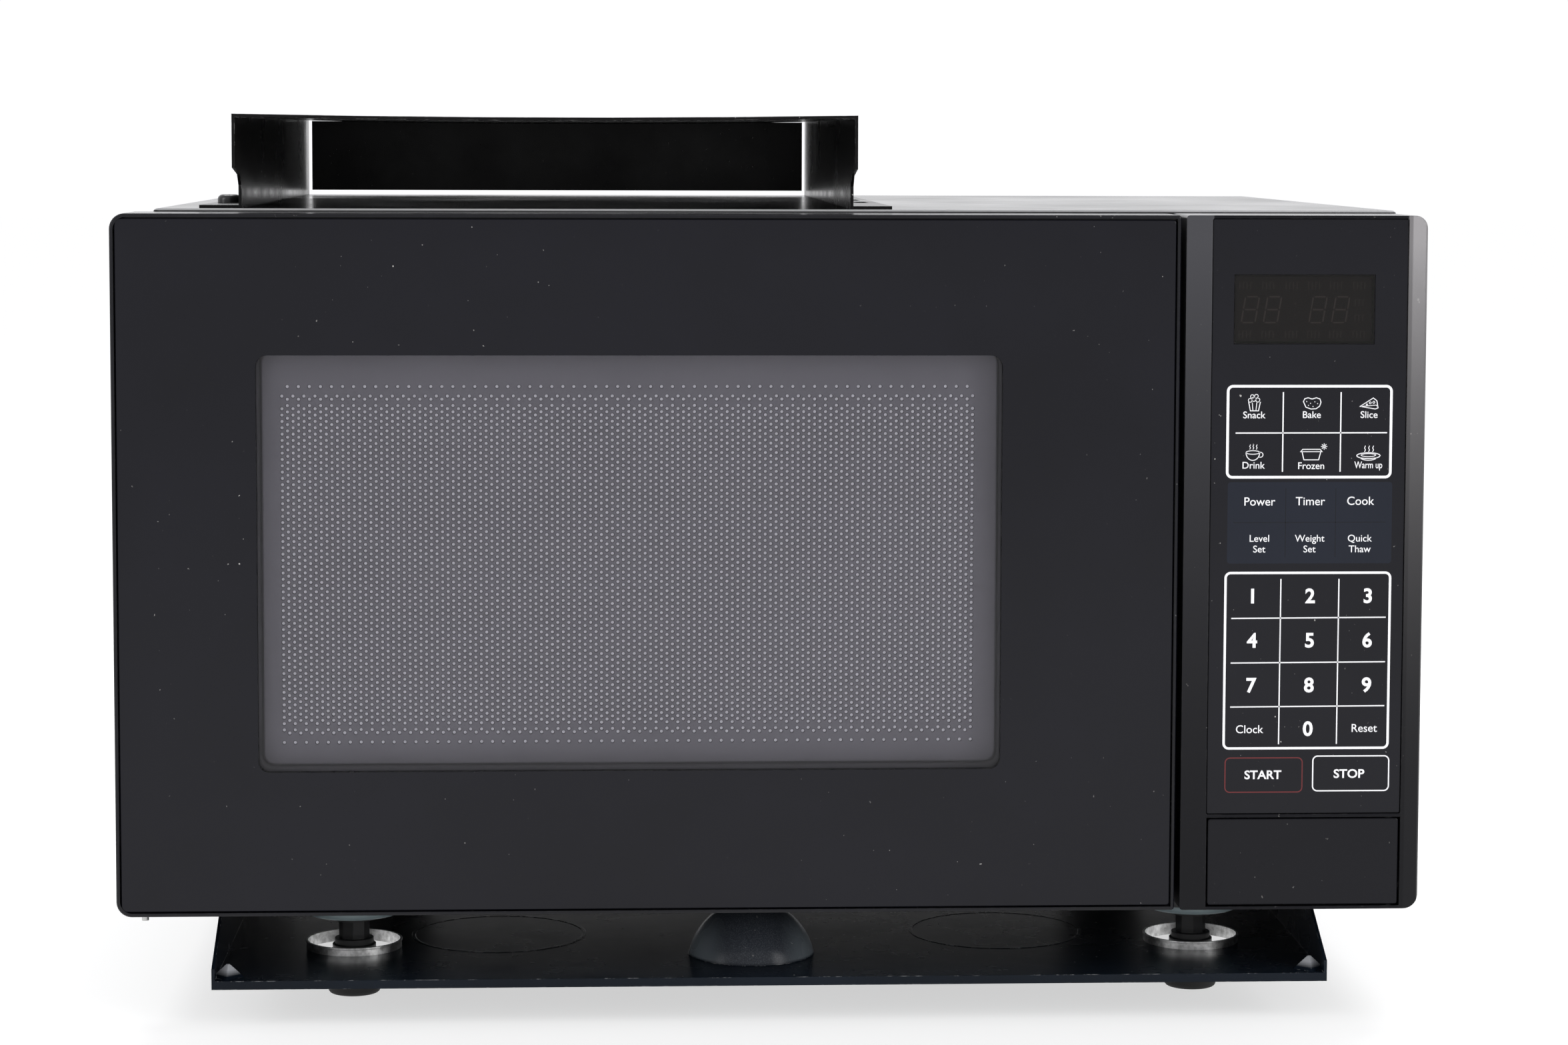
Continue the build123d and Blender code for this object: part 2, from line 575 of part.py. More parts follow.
tray_z = ring_z + roller_r + 0.4                         # underside of the glass over the rollers
with BuildPart() as turntable_tray:
    with BuildSketch(Plane(origin=P(tt_x, tt_y, 0), x_dir=(1, 0, 0), z_dir=(0, -1, 0))) as tray_profile:
        with BuildLine():
            Polyline((0, tray_z), (96, tray_z), (98, tray_z + 1.2), (118, tray_z + 1.8), (136, tray_z + 9.5),
                     (141.0, tray_z + 9.8), (141.0, tray_z + 12.4), (134.6, tray_z + 12.6),
                     (116.5, tray_z + 5.6), (0, tray_z + 4.2), close=True)
        make_face()
        fillet(tray_profile.vertices().filter_by_position(Axis.X, 110, 140), radius=1.2)
    revolve(axis=Axis(P(tt_x, tt_y, 0), (0, 0, 1)))
    # three lugs that sit between the coupler's arms
    with BuildSketch(level(tray_z)):
        with Locations((tt_x, tt_y)):
            with PolarLocations(15.0, 3, start_angle=150):
                RectangleRounded(13, 11, 3)
    extrude(amount=-3.4)
save(turntable_tray.part, "turntable_tray")

# ================================================================ RIGHT-HAND COMPARTMENT
with BuildPart() as magnetron:
    box(145.0, 222, 150, 232, 160, 224)
    box(147.5, 220, 149, 233, 164, 220, Mode.SUBTRACT)
    peg_x(190, 192, 146, 221, 19.0)                       # anode block
    for k in range(9):
        box(156 + 7 * k, 156.8 + 7 * k, 152, 230, 164, 220)
    box(222, 240, 168, 214, 168, 216)                     # filter box
    peg_x(188, 190, 118, 146, 9.0)                        # antenna
    peg_x(188, 190, 140, 146, 16.0)
save(magnetron.part, "magnetron")

with BuildPart() as transformer_core:
    box(165, 245, 205, 275, 8, 76)
    box(177, 189, 204, 276, 20, 64, Mode.SUBTRACT)
    box(221, 233, 204, 276, 20, 64, Mode.SUBTRACT)
    for fx0 in (161.0, 239.0):
        box(fx0, fx0 + 9.0, 205, 275, base_z + sheet, 8)
save(transformer_core.part, "transformer_core")

with BuildPart() as transformer_windings:
    for z0, tall in ((21, 18), (43, 20)):                 # primary below, secondary above
        with BuildSketch(level(z0)):
            with Locations((205, 240)):
                RectangleRounded(55.4, 94, 8)
                Rectangle(32.4, 70.4, mode=Mode.SUBTRACT)
        extrude(amount=tall)
save(transformer_windings.part, "transformer_windings")

with BuildPart() as capacitor:
    with BuildSketch(level(22)):
        with Locations((136, 268)):
            SlotOverall(54, 34, rotation=90)
    extrude(amount=92)
    fillet(capacitor.faces().sort_by(Axis.Z)[-1].edges(), radius=2)
    for dy in (-10, 10):
        box(133, 139, 268 + dy - 0.4, 268 + dy + 0.4, 114, 123)
save(capacitor.part, "capacitor")

with BuildPart() as capacitor_clamp:
    with BuildSketch(level(40)):
        with Locations((136, 268)):
            SlotOverall(56, 36, rotation=90)
            SlotOverall(54.1, 34.1, rotation=90, mode=Mode.SUBTRACT)
    extrude(amount=12)
    box(130, 142, 295.05, 296.65, base_z + sheet, 52)
    box(130, 142, 295.05, 312, base_z + sheet, base_z + sheet + 1.2)
save(capacitor_clamp.part, "capacitor_clamp")

with BuildPart() as hv_diode:
    peg_y(122, 128, 252, 276, 3.0)
    peg_y(122, 128, 246, 282, 0.8)
    box(121, 135, 280.4, 282, 121, 129)
save(hv_diode.part, "hv_diode")

# ---------------------------------------------------------------- cooling fan
fan_x, fan_z, fan_R = 188.0, 200.0, 50.0
with BuildPart() as fan_shroud:
    box(fan_x - 60, fan_x + 60, 352, 386.4, fan_z - 62, fan_z + 62)
    peg_y(fan_x, fan_z, 350, 388, fan_R + 3.5, Mode.SUBTRACT)
    # motor bridge across the inlet
    box(fan_x - 60, fan_x + 60, 352, 354, fan_z - 8, fan_z + 8)
    peg_y(fan_x, fan_z, 350, 356, 3.6, Mode.SUBTRACT)
save(fan_shroud.part, "fan_shroud")

with BuildPart() as fan_motor:
    box(fan_x - 30, fan_x + 30, 318, 340, fan_z - 26, fan_z + 26)
    box(fan_x - 16, fan_x + 16, 310, 352, fan_z - 16, fan_z + 16)
    peg_y(fan_x, fan_z, 330, 355, 2.56, Mode.SUBTRACT)
save(fan_motor.part, "fan_motor")

with BuildPart() as fan_impeller:
    peg_y(fan_x, fan_z, 332, 372, 2.5)
    peg_y(fan_x, fan_z, 358, 376, 14.0)
    for k in range(6):
        a = 60.0 * k
        blade = Plane(origin=P(fan_x, 367, fan_z), x_dir=(cos(radians(a)), 0, sin(radians(a))),
                      z_dir=(0, -1, 0)).rotated((0, 0, 0))
        with BuildSketch(blade.offset(-6)):
            with Locations((31.5, -7)):
                Ellipse(18.0, 8.0)
        with BuildSketch(blade.offset(6)):
            with Locations((31.5, 7)):
                Ellipse(18.0, 8.0)
        loft()
save(fan_impeller.part, "fan_impeller")

with BuildPart() as cavity_lamp:
    box(cav[1] + sheet, 122, 84, 116, 208, 236)
    box(cav[1] + sheet - 1, 120, 86, 114, 210, 234, Mode.SUBTRACT)
    peg_x(100, 222, 106.5, 119.0, 7.0)
    peg_x(100, 222, 119.0, 134, 9.0)
save(cavity_lamp.part, "cavity_lamp")

with BuildPart() as thermal_cutout:
    post(-60, 240, cav[3] + sheet, cav[3] + sheet + 8, 8.0)
    box(-74, -46, 236, 244, cav[3] + sheet, cav[3] + sheet + 1.2)
    for dx in (-3, 3):
        box(-60 + dx - 2, -60 + dx + 2, 237, 237.8, cav[3] + sheet + 8, cav[3] + sheet + 16)
save(thermal_cutout.part, "thermal_cutout")

with BuildPart() as filter_board:
    box(166, 240, 60, 120, 10, 11.6)
    for px in (171, 235):
        for py in (65, 115):
            post(px, py, base_z + sheet, 10, 3)
    box(175, 195, 68, 88, 11.6, 28)
    box(205, 232, 68, 78, 11.6, 20)
    peg_x(104, 20, 178, 210, 7)
    box(178, 210, 98, 110, 11.6, 20)
save(filter_board.part, "filter_board")

# ================================================================ TOP BRACKET
b_top = case_top + brk_h
with BuildPart() as top_bracket:
    for x0 in (brk_l, brk_r - brk_t):
        with BuildSketch(side(x0)):
            with BuildLine():
                Polyline((18, b_top), (18, case_top + 16.2), (38, case_top + 13.4), (44, case_top + 9), (44, case_top),
                         (384, case_top), (384, b_top), close=True)
            make_face()
        extrude(amount=brk_t)
    # top web, sagging a little between the walls
    mid = (brk_l + brk_r) / 2
    with BuildSketch(front(18)):
        with BuildLine():
            Line((brk_l, b_top - brk_t), (brk_l, b_top))
            ThreePointArc((brk_l, b_top), (mid, b_top - 1.1), (brk_r, b_top))
            Line((brk_r, b_top), (brk_r, b_top - brk_t))
            ThreePointArc((brk_r, b_top - brk_t), (mid, b_top - 1.1 - brk_t), (brk_l, b_top - brk_t))
        make_face()
    extrude(amount=-366)
    # rear wall, bent down from the top with a slit at each corner
    with BuildSketch(front(380)):
        rect(-206.8, brk_r - 2.7, case_top + 2.3, b_top - brk_t - 0.3)
    extrude(amount=-brk_t)
    # feet flanges turned outwards
    box(brk_l - 15.7, brk_l, 46, 384, case_top, case_top + brk_t)
    box(brk_r, brk_r + 15.6, 46, 384, case_top, case_top + brk_t)
    # screw holes on the left, open adjusting slots on the right
    for hx, hy in ((-218.4, 94), (-218.4, 300), (42.0, 300)):
        post(hx, hy, case_top - 1, case_top + 3, 2.3, Mode.SUBTRACT)
    with BuildSketch(level(case_top - 1)):
        with Locations((42.0, 132), (42.0, 186)):
            SlotOverall(26, 6, rotation=90)
        # four fixing holes through the top
        with Locations(((brk_l + brk_r) / 2, 206)):
            with GridLocations(190, 270, 2, 2):
                Circle(3.5)
    extrude(amount=50, mode=Mode.SUBTRACT)
save(top_bracket.part, "top_bracket")


def pan_head(x, y, z, r=4.7, h=3.4, shank=2.0, down=9.0):
    """A pan-head screw seen from above: head on z, shank below, cross recess in the head."""
    with Locations(P(x, y, z)):
        Cylinder(r, h, align=(Align.CENTER, Align.CENTER, Align.MIN))
    with Locations(P(x, y, z - down)):
        Cylinder(shank - 0.1, down + 0.2, align=(Align.CENTER, Align.CENTER, Align.MIN))


with BuildPart() as bracket_screws:
    for hx, hy in ((-218.4, 94), (-218.4, 300), (42.0, 300)):
        pan_head(hx, hy, case_top + brk_t)
    fillet(bracket_screws.faces().group_by(Axis.Z)[-1].edges(), radius=2.1)
    for hx, hy in ((-218.4, 94), (-218.4, 300), (42.0, 300)):
        box(hx - 2.4, hx + 2.4, hy - 0.45, hy + 0.45, case_top + brk_t + 1.8, case_top + 8, Mode.SUBTRACT)
        box(hx - 0.45, hx + 0.45, hy - 2.4, hy + 2.4, case_top + brk_t + 1.8, case_top + 8, Mode.SUBTRACT)
save(bracket_screws.part, "bracket_screws")

# ================================================================ PAN UNDER THE BASE
with BuildPart() as bottom_tray:
    box(pan[0], pan[1], pan[2], pan[3], pan_top - pan_t, pan_top)
    box(pan[0], pan[1], pan[2], pan[2] + pan_t, pan_top - 3.4, pan_top)            # front lip
    for x0 in (pan[0], pan[1] - pan_t):
        with BuildSketch(side(x0)):
            with BuildLine():
                Polyline((pan[2], pan_top - pan_t), (pan[2], pan_top + 4.8), (58, base_z), (pan[3], base_z),
                         (pan[3], pan_top - pan_t), close=True)
            make_face()
        extrude(amount=pan_t)
    # rear wall
    box(pan[0], pan[1], pan[3] - pan_t, pan[3], pan_top - pan_t, pan_top + 14)
    # flanges under the base, turned inwards
    box(pan[0], pan[0] + 14, 100, 315, base_z - pan_t, base_z)
    box(pan[1] - 14, pan[1], 100, 315, base_z - pan_t, base_z)
    for hx in (pan[0] + 8, pan[1] - 8):
        for hy in (120, 295):
            post(hx, hy, base_z - 3, base_z + 1, 1.9, Mode.SUBTRACT)
    # holes for the feet
    for fx, fy in feet:
        post(fx, fy, pan_top - 4, pan_top + 1, 19.3, Mode.SUBTRACT)
    # centre dome, pressed up from the floor: a round cap, hollow underneath
    for cap_r, cap_h, z0, how in ((25.6, 21.6, pan_top - 0.6, Mode.ADD), (24.4, 21.0, pan_top - 1.6, Mode.SUBTRACT)):
        with BuildSketch(Plane(origin=P(-6.4, 53, 0), x_dir=(1, 0, 0), z_dir=(0, -1, 0))):
            with BuildLine():
                big = (cap_r ** 2 + cap_h ** 2) / (2 * cap_h)
                Line((0, z0), (cap_r, z0))
                ThreePointArc((cap_r, z0), (big * sin(radians(40)), z0 + cap_h - big + big * cos(radians(40))),
                              (0, z0 + cap_h))
                Line((0, z0 + cap_h), (0, z0))
            make_face()
        revolve(axis=Axis(P(-6.4, 53, 0), (0, 0, 1)), mode=how)
    # two shallow round swages
    for sx in (-109.5, 97.0):
        with BuildSketch(level(pan_top)):
            with Locations((sx, 92)):
                Circle(36)
                Circle(34.6, mode=Mode.SUBTRACT)
        extrude(amount=0.1)
    # drawn front corners: the sheet rises in a small four-sided point into each corner
    for x0 in (pan[0] + 5.8, pan[1] - 5.8):
        with BuildSketch(level(pan_top - 0.2)):
            with Locations((x0, pan[2] + 7.6)):
                RegularPolygon(6.6, 4)
        extrude(amount=5.4, taper=38)
    box(pan[0] - 12, pan[0], -8, 30, pan_top - 2, pan_top + 12, Mode.SUBTRACT)
    box(pan[1], pan[1] + 12, -8, 30, pan_top - 2, pan_top + 12, Mode.SUBTRACT)
    box(pan[0] - 12, pan[1] + 12, -8, pan[2], pan_top - 2, pan_top + 12, Mode.SUBTRACT)
save(bottom_tray.part, "bottom_tray")

with BuildPart() as tray_collars:
    for fx, fy in feet:
        post(fx, fy, pan_top - pan_t - 0.3, pan_top + 3.3, 19.3)
        post(fx, fy, pan_top + 2.6, pan_top + 3.3, 19.6)
        post(fx, fy, pan_top - pan_t - 2, pan_top + 5, 18.7, Mode.SUBTRACT)
save(tray_collars.part, "tray_collars")

with BuildPart() as tray_screws:
    for hx in (pan[0] + 8, pan[1] - 8):
        for hy in (120, 295):
            with Locations(P(hx, hy, base_z - pan_t)):
                Cylinder(3.6, 2.2, align=(Align.CENTER, Align.CENTER, Align.MAX))
            post(hx, hy, base_z - pan_t - 0.2, base_z, 1.8)
save(tray_screws.part, "tray_screws")


# ================================================================ FEET
def foot(fx, fy, label):
    with BuildPart() as one:
        post(fx, fy, -15.6, -13.0, 9.0)                       # flange under the pressed cup
        post(fx, fy, -13.1, -9.0, 4.0)                        # spigot in the base sheet
        post(fx, fy, -9.6, -8.4, 5.2)                         # snap head inside the cup
        with BuildSketch(level(-23.6)):
            with Locations((fx, fy)):
                RegularPolygon(5.7, 8, major_radius=False)
        extrude(amount=8.1)
        post(fx, fy, -26.0, -23.4, 7.85)
        post(fx, fy, -28.9, -25.9, 8.8)
        post(fx, fy, -41.5, -28.8, 10.7)
        post(fx, fy, -43.0, -41.4, 7.0)
    save(one.part, label)


foot(feet[0][0], feet[0][1], "foot_front_left")
foot(feet[1][0], feet[1][1], "foot_rear_left")
foot(feet[2][0], feet[2][1], "foot_front_right")
foot(feet[3][0], feet[3][1], "foot_rear_right")

with BuildPart() as foot_pads:
    for fx, fy in feet:
        post(fx, fy, -foot_h, -41.5, 10.6)
    fillet(foot_pads.faces().group_by(Axis.Z)[0].edges(), radius=1.6)
    for fx, fy in feet:
        post(fx, fy, -43.0, -40, 7.0, Mode.SUBTRACT)
save(foot_pads.part, "foot_pads")

with BuildPart() as casing_screws:
    spots = [(x, 387.9, z) for x in (-236, 243) for z in (20, 140, 262)] + [(0, 387.9, 266)]
    for sx, sy, sz in spots:
        peg_y(sx, sz, 388.0, 390.2, 3.8)
save(casing_screws.part, "casing_screws")
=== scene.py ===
import bpy
import math
import numpy as np
from mathutils import Matrix, Vector


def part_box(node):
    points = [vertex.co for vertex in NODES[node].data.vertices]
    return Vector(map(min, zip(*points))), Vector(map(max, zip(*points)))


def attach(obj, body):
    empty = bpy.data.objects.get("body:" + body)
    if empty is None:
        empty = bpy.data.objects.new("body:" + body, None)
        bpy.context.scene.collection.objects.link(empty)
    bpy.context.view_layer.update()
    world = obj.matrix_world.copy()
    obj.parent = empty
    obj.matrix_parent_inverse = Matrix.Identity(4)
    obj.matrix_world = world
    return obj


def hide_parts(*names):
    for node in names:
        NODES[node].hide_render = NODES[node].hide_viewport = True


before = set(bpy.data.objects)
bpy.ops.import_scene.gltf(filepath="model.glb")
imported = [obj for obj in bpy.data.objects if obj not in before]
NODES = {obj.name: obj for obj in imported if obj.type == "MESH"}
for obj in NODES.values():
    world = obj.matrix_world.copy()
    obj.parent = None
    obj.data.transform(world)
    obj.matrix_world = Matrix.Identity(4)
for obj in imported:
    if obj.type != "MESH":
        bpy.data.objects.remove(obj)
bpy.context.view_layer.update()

# The front frame: x from the middle of the front, y back from the front face, z up from the front's lower edge, in mm.
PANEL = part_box("control_panel")
OX = PANEL[1][0] - 0.255
OY = PANEL[0][1]
OZ = PANEL[0][2]


def P(x, y, z):
    return (OX + x / 1000.0, OY + y / 1000.0, OZ + z / 1000.0)


# ---------------------------------------------------------------- materials

class Tree:
    """A node tree with short helpers."""

    def __init__(self, name):
        self.mat = bpy.data.materials.new(name)
        self.mat.use_nodes = True
        self.nt = self.mat.node_tree
        self.nt.nodes.clear()
        self.out = self.new("ShaderNodeOutputMaterial")
        self.coord = self.new("ShaderNodeTexCoord").outputs["Object"]

    def new(self, kind, **props):
        n = self.nt.nodes.new(kind)
        for k, v in props.items():
            setattr(n, k, v)
        return n

    def link(self, a, b):
        self.nt.links.new(a, b)

    def stretched(self, scale):
        m = self.new("ShaderNodeMapping")
        m.inputs["Scale"].default_value = scale
        self.link(self.coord, m.inputs["Vector"])
        return m.outputs["Vector"]

    def noise(self, scale, detail=3.0, rough=0.5, vector=None, distortion=0.0):
        n = self.new("ShaderNodeTexNoise")
        n.inputs["Scale"].default_value = scale
        n.inputs["Detail"].default_value = detail
        n.inputs["Roughness"].default_value = rough
        n.inputs["Distortion"].default_value = distortion
        self.link(vector or self.coord, n.inputs["Vector"])
        return n.outputs["Fac"]

    def ranged(self, value, a, b, c, d, smooth=False):
        m = self.new("ShaderNodeMapRange")
        if smooth:
            m.interpolation_type = "SMOOTHSTEP"
        for i, v in zip(("From Min", "From Max", "To Min", "To Max"), (a, b, c, d)):
            m.inputs[i].default_value = v
        self.link(value, m.inputs["Value"])
        return m.outputs["Result"]

    def mixed(self, fac, a, b):
        m = self.new("ShaderNodeMix", data_type="RGBA")
        if isinstance(fac, (int, float)):
            m.inputs[0].default_value = fac
        else:
            self.link(fac, m.inputs[0])
        for socket, v in ((m.inputs[6], a), (m.inputs[7], b)):
            if isinstance(v, (tuple, list)):
                socket.default_value = (v[0], v[1], v[2], 1.0)
            else:
                self.link(v, socket)
        return m.outputs[2]

    def maths(self, op, a, b=None):
        m = self.new("ShaderNodeMath", operation=op)
        for i, v in enumerate((a, b)):
            if v is None:
                continue
            if isinstance(v, (int, float)):
                m.inputs[i].default_value = v
            else:
                self.link(v, m.inputs[i])
        return m.outputs[0]


def tone(c, k):
    return tuple(max(0.0, min(1.0, v * k)) for v in c)


def surface(name, base, rough, metal=0.0, spec=0.5, coat=0.0, coat_rough=0.05, shade=0.12, shade_scale=18.0,
            rough_var=0.05, rough_scale=30.0, bumps=((900.0, 0.12, 0.00004),), edge=0.0, wear=0.0,
            wear_tone=(0.25, 0.25, 0.25), dust=0.0, dust_tone=(0.45, 0.44, 0.42), grain=None, sheen=0.0, extra=None):
    """A finish with colour drift, uneven gloss, fine relief, softened edges, edge wear and dust specks."""
    t = Tree(name)
    b = t.new("ShaderNodeBsdfPrincipled")
    t.link(b.outputs[0], t.out.inputs["Surface"])
    vec = t.stretched(grain) if grain else t.coord
    colour = t.mixed(t.ranged(t.noise(shade_scale, 4.0, 0.55), 0.3, 0.7, 0.0, 1.0), tone(base, 1.0 - shade), tone(base, 1.0 + shade))
    if grain:
        colour = t.mixed(t.ranged(t.noise(14.0, 5.0, 0.7, vec), 0.35, 0.65, 0.0, 1.0), colour, tone(base, 1.0 - 1.6 * shade))
    if extra:
        colour = extra(t, colour)
    roughness = t.ranged(t.noise(rough_scale, 4.0, 0.6), 0.3, 0.7, max(0.02, rough - rough_var), min(1.0, rough + rough_var))
    if edge > 0.0:
        bev = t.new("ShaderNodeBevel", samples=4)
        bev.inputs["Radius"].default_value = edge
        normal = bev.outputs["Normal"]
        if wear > 0.0:
            geo = t.new("ShaderNodeNewGeometry")
            d = t.new("ShaderNodeVectorMath", operation="DOT_PRODUCT")
            t.link(normal, d.inputs[0])
            t.link(geo.outputs["Normal"], d.inputs[1])
            rim = t.ranged(d.outputs["Value"], 0.985, 0.80, 0.0, 1.0)
            chips = t.ranged(t.noise(220.0, 5.0, 0.7), 0.52, 0.62, 0.0, wear)
            mask = t.maths("MULTIPLY", rim, chips)
            colour = t.mixed(mask, colour, wear_tone)
    else:
        normal = None
    if dust > 0.0:
        spots = t.ranged(t.noise(520.0, 2.0, 0.5), 0.735, 0.775, 0.0, 1.0)
        where = t.ranged(t.noise(9.0, 2.0, 0.5), 0.42, 0.62, 0.0, dust)
        colour = t.mixed(t.maths("MULTIPLY", spots, where), colour, dust_tone)
    t.link(colour, b.inputs["Base Color"])
    t.link(roughness, b.inputs["Roughness"])
    for scale, strength, distance in bumps:
        bump = t.new("ShaderNodeBump")
        bump.inputs["Strength"].default_value = strength
        bump.inputs["Distance"].default_value = distance
        t.link(t.noise(scale, 3.0, 0.6, vec), bump.inputs["Height"])
        if normal is not None:
            t.link(normal, bump.inputs["Normal"])
        normal = bump.outputs["Normal"]
    if normal is not None:
        t.link(normal, b.inputs["Normal"])
    b.inputs["Metallic"].default_value = metal
    b.inputs["Specular IOR Level"].default_value = spec
    b.inputs["Coat Weight"].default_value = coat
    b.inputs["Coat Roughness"].default_value = coat_rough
    if sheen:
        b.inputs["Sheen Weight"].default_value = sheen
    return t.mat


def clear_pane(name, tint, ior=1.40, rough=0.02, smudge=0.05):
    """A thin clear sheet: what is behind shows through, and the surface mirrors by Fresnel."""
    t = Tree(name)
    fres = t.new("ShaderNodeFresnel")
    fres.inputs["IOR"].default_value = ior
    see = t.new("ShaderNodeBsdfTransparent")
    see.inputs["Color"].default_value = (tint[0], tint[1], tint[2], 1.0)
    gloss = t.new("ShaderNodeBsdfPrincipled")
    gloss.inputs["Base Color"].default_value = (1.0, 1.0, 1.0, 1.0)
    gloss.inputs["Metallic"].default_value = 1.0
    t.link(t.ranged(t.noise(26.0, 4.0, 0.6), 0.3, 0.7, rough, rough + smudge), gloss.inputs["Roughness"])
    mix = t.new("ShaderNodeMixShader")
    t.link(fres.outputs[0], mix.inputs[0])
    t.link(see.outputs[0], mix.inputs[1])
    t.link(gloss.outputs[0], mix.inputs[2])
    t.link(mix.outputs[0], t.out.inputs["Surface"])
    return t.mat


def clear_body(name, tint, share):
    """A thick clear piece: a fixed share of its surface mirrors, and the rest lets through what is behind."""
    t = Tree(name)
    see = t.new("ShaderNodeBsdfTransparent")
    see.inputs["Color"].default_value = (tint[0], tint[1], tint[2], 1.0)
    gloss = t.new("ShaderNodeBsdfPrincipled")
    gloss.inputs["Base Color"].default_value = (0.82, 0.86, 0.85, 1.0)
    t.link(t.ranged(t.noise(40.0, 4.0, 0.6), 0.3, 0.7, 0.04, 0.12), gloss.inputs["Roughness"])
    mix = t.new("ShaderNodeMixShader")
    mix.inputs[0].default_value = share
    t.link(see.outputs[0], mix.inputs[1])
    t.link(gloss.outputs[0], mix.inputs[2])
    t.link(mix.outputs[0], t.out.inputs["Surface"])
    return t.mat


def wound(t, colour):
    """Fine parallel wires of a winding."""
    w = t.new("ShaderNodeTexWave", wave_type="BANDS", bands_direction="Z")
    w.inputs["Scale"].default_value = 160.0
    w.inputs["Distortion"].default_value = 0.6
    t.link(t.coord, w.inputs["Vector"])
    return t.mixed(t.ranged(w.outputs["Fac"], 0.0, 0.6, 0.0, 1.0), (0.12, 0.05, 0.02), colour)


def laminated(t, colour):
    """Stacked sheets seen on edge."""
    w = t.new("ShaderNodeTexWave", wave_type="BANDS", bands_direction="Y")
    w.inputs["Scale"].default_value = 320.0
    w.inputs["Distortion"].default_value = 0.3
    t.link(t.coord, w.inputs["Vector"])
    return t.mixed(t.ranged(w.outputs["Fac"], 0.2, 0.8, 0.0, 0.55), colour, (0.06, 0.055, 0.05))


def traced(t, colour):
    """Copper tracks under a green mask."""
    br = t.new("ShaderNodeTexBrick")
    br.inputs["Scale"].default_value = 90.0
    br.inputs["Mortar Size"].default_value = 0.06
    br.inputs["Color1"].default_value = (0, 0, 0, 1)
    br.inputs["Color2"].default_value = (0.15, 0.15, 0.15, 1)
    br.inputs["Mortar"].default_value = (1, 1, 1, 1)
    m = t.new("ShaderNodeMapping")
    m.inputs["Rotation"].default_value = (math.radians(90), 0, 0)
    t.link(t.coord, m.inputs["Vector"])
    t.link(m.outputs[0], br.inputs["Vector"])
    return t.mixed(t.ranged(br.outputs["Fac"], 0.0, 1.0, 0.0, 0.6), colour, (0.16, 0.32, 0.12))


def spangled(t, colour):
    """The broad crystal pattern of hot-dip zinc."""
    v = t.new("ShaderNodeTexVoronoi")
    v.inputs["Scale"].default_value = 75.0
    t.link(t.coord, v.inputs["Vector"])
    bw = t.new("ShaderNodeRGBToBW")
    t.link(v.outputs["Color"], bw.inputs[0])
    return t.mixed(t.ranged(bw.outputs[0], 0.2, 0.8, 0.0, 0.5), colour, (0.40, 0.41, 0.42))


def place(t):
    """Position in the front frame: x, y and z sockets, in metres."""
    sep = t.new("ShaderNodeSeparateXYZ")
    t.link(t.coord, sep.inputs[0])
    return (t.maths("SUBTRACT", sep.outputs["X"], OX), t.maths("SUBTRACT", sep.outputs["Y"], OY), t.maths("SUBTRACT", sep.outputs["Z"], OZ))


def panel_painted_highlight(t, colour):
    """Satin panel lacquer with painted reflection: the strip and the right bevel are painted dark low down and lighter
    towards the top, and the top edge gets a painted highlight.
    """
    x, y, z = place(t)
    # painted reflection: the strip and the bevel grow lighter with height
    high = t.ranged(z, 0.005, 0.262, 0.0, 1.0)
    strip = t.mixed(t.maths("POWER", high, 2.15), (0.0060, 0.0060, 0.0076), (0.062, 0.062, 0.069))
    bevel = t.mixed(t.maths("POWER", high, 2.8), (0.0062, 0.0062, 0.0076), (0.190, 0.184, 0.188))
    out = t.mixed(t.ranged(x, 0.1704, 0.1708, 0.0, 1.0), strip, (0.0040, 0.0040, 0.0062))
    out = t.mixed(t.ranged(x, 0.2466, 0.2472, 0.0, 1.0), out, bevel)
    # painted highlight along the panel's top edge
    return t.mixed(t.ranged(z, 0.2729, 0.2733, 0.0, 1.0), out, (0.60, 0.60, 0.61))


def casing_painted_edge_highlight(t, colour):
    """Painted highlight along the front edge of the casing's top sheet."""
    x, y, z = place(t)
    on = t.maths("MULTIPLY", t.ranged(y, 0.0405, 0.0401, 0.0, 1.0), t.ranged(z, 0.2726, 0.2732, 0.0, 1.0))
    return t.mixed(on, colour, (0.52, 0.52, 0.53))


def base_cups_painted_reflection(t, colour):
    """Painted reflection: the pressed cups over the feet are given a pale bluish colour for the light they reflect."""
    x, y, z = place(t)
    return t.mixed(t.ranged(z, -0.0099, -0.0104, 0.0, 1.0), colour, (0.26, 0.33, 0.35))


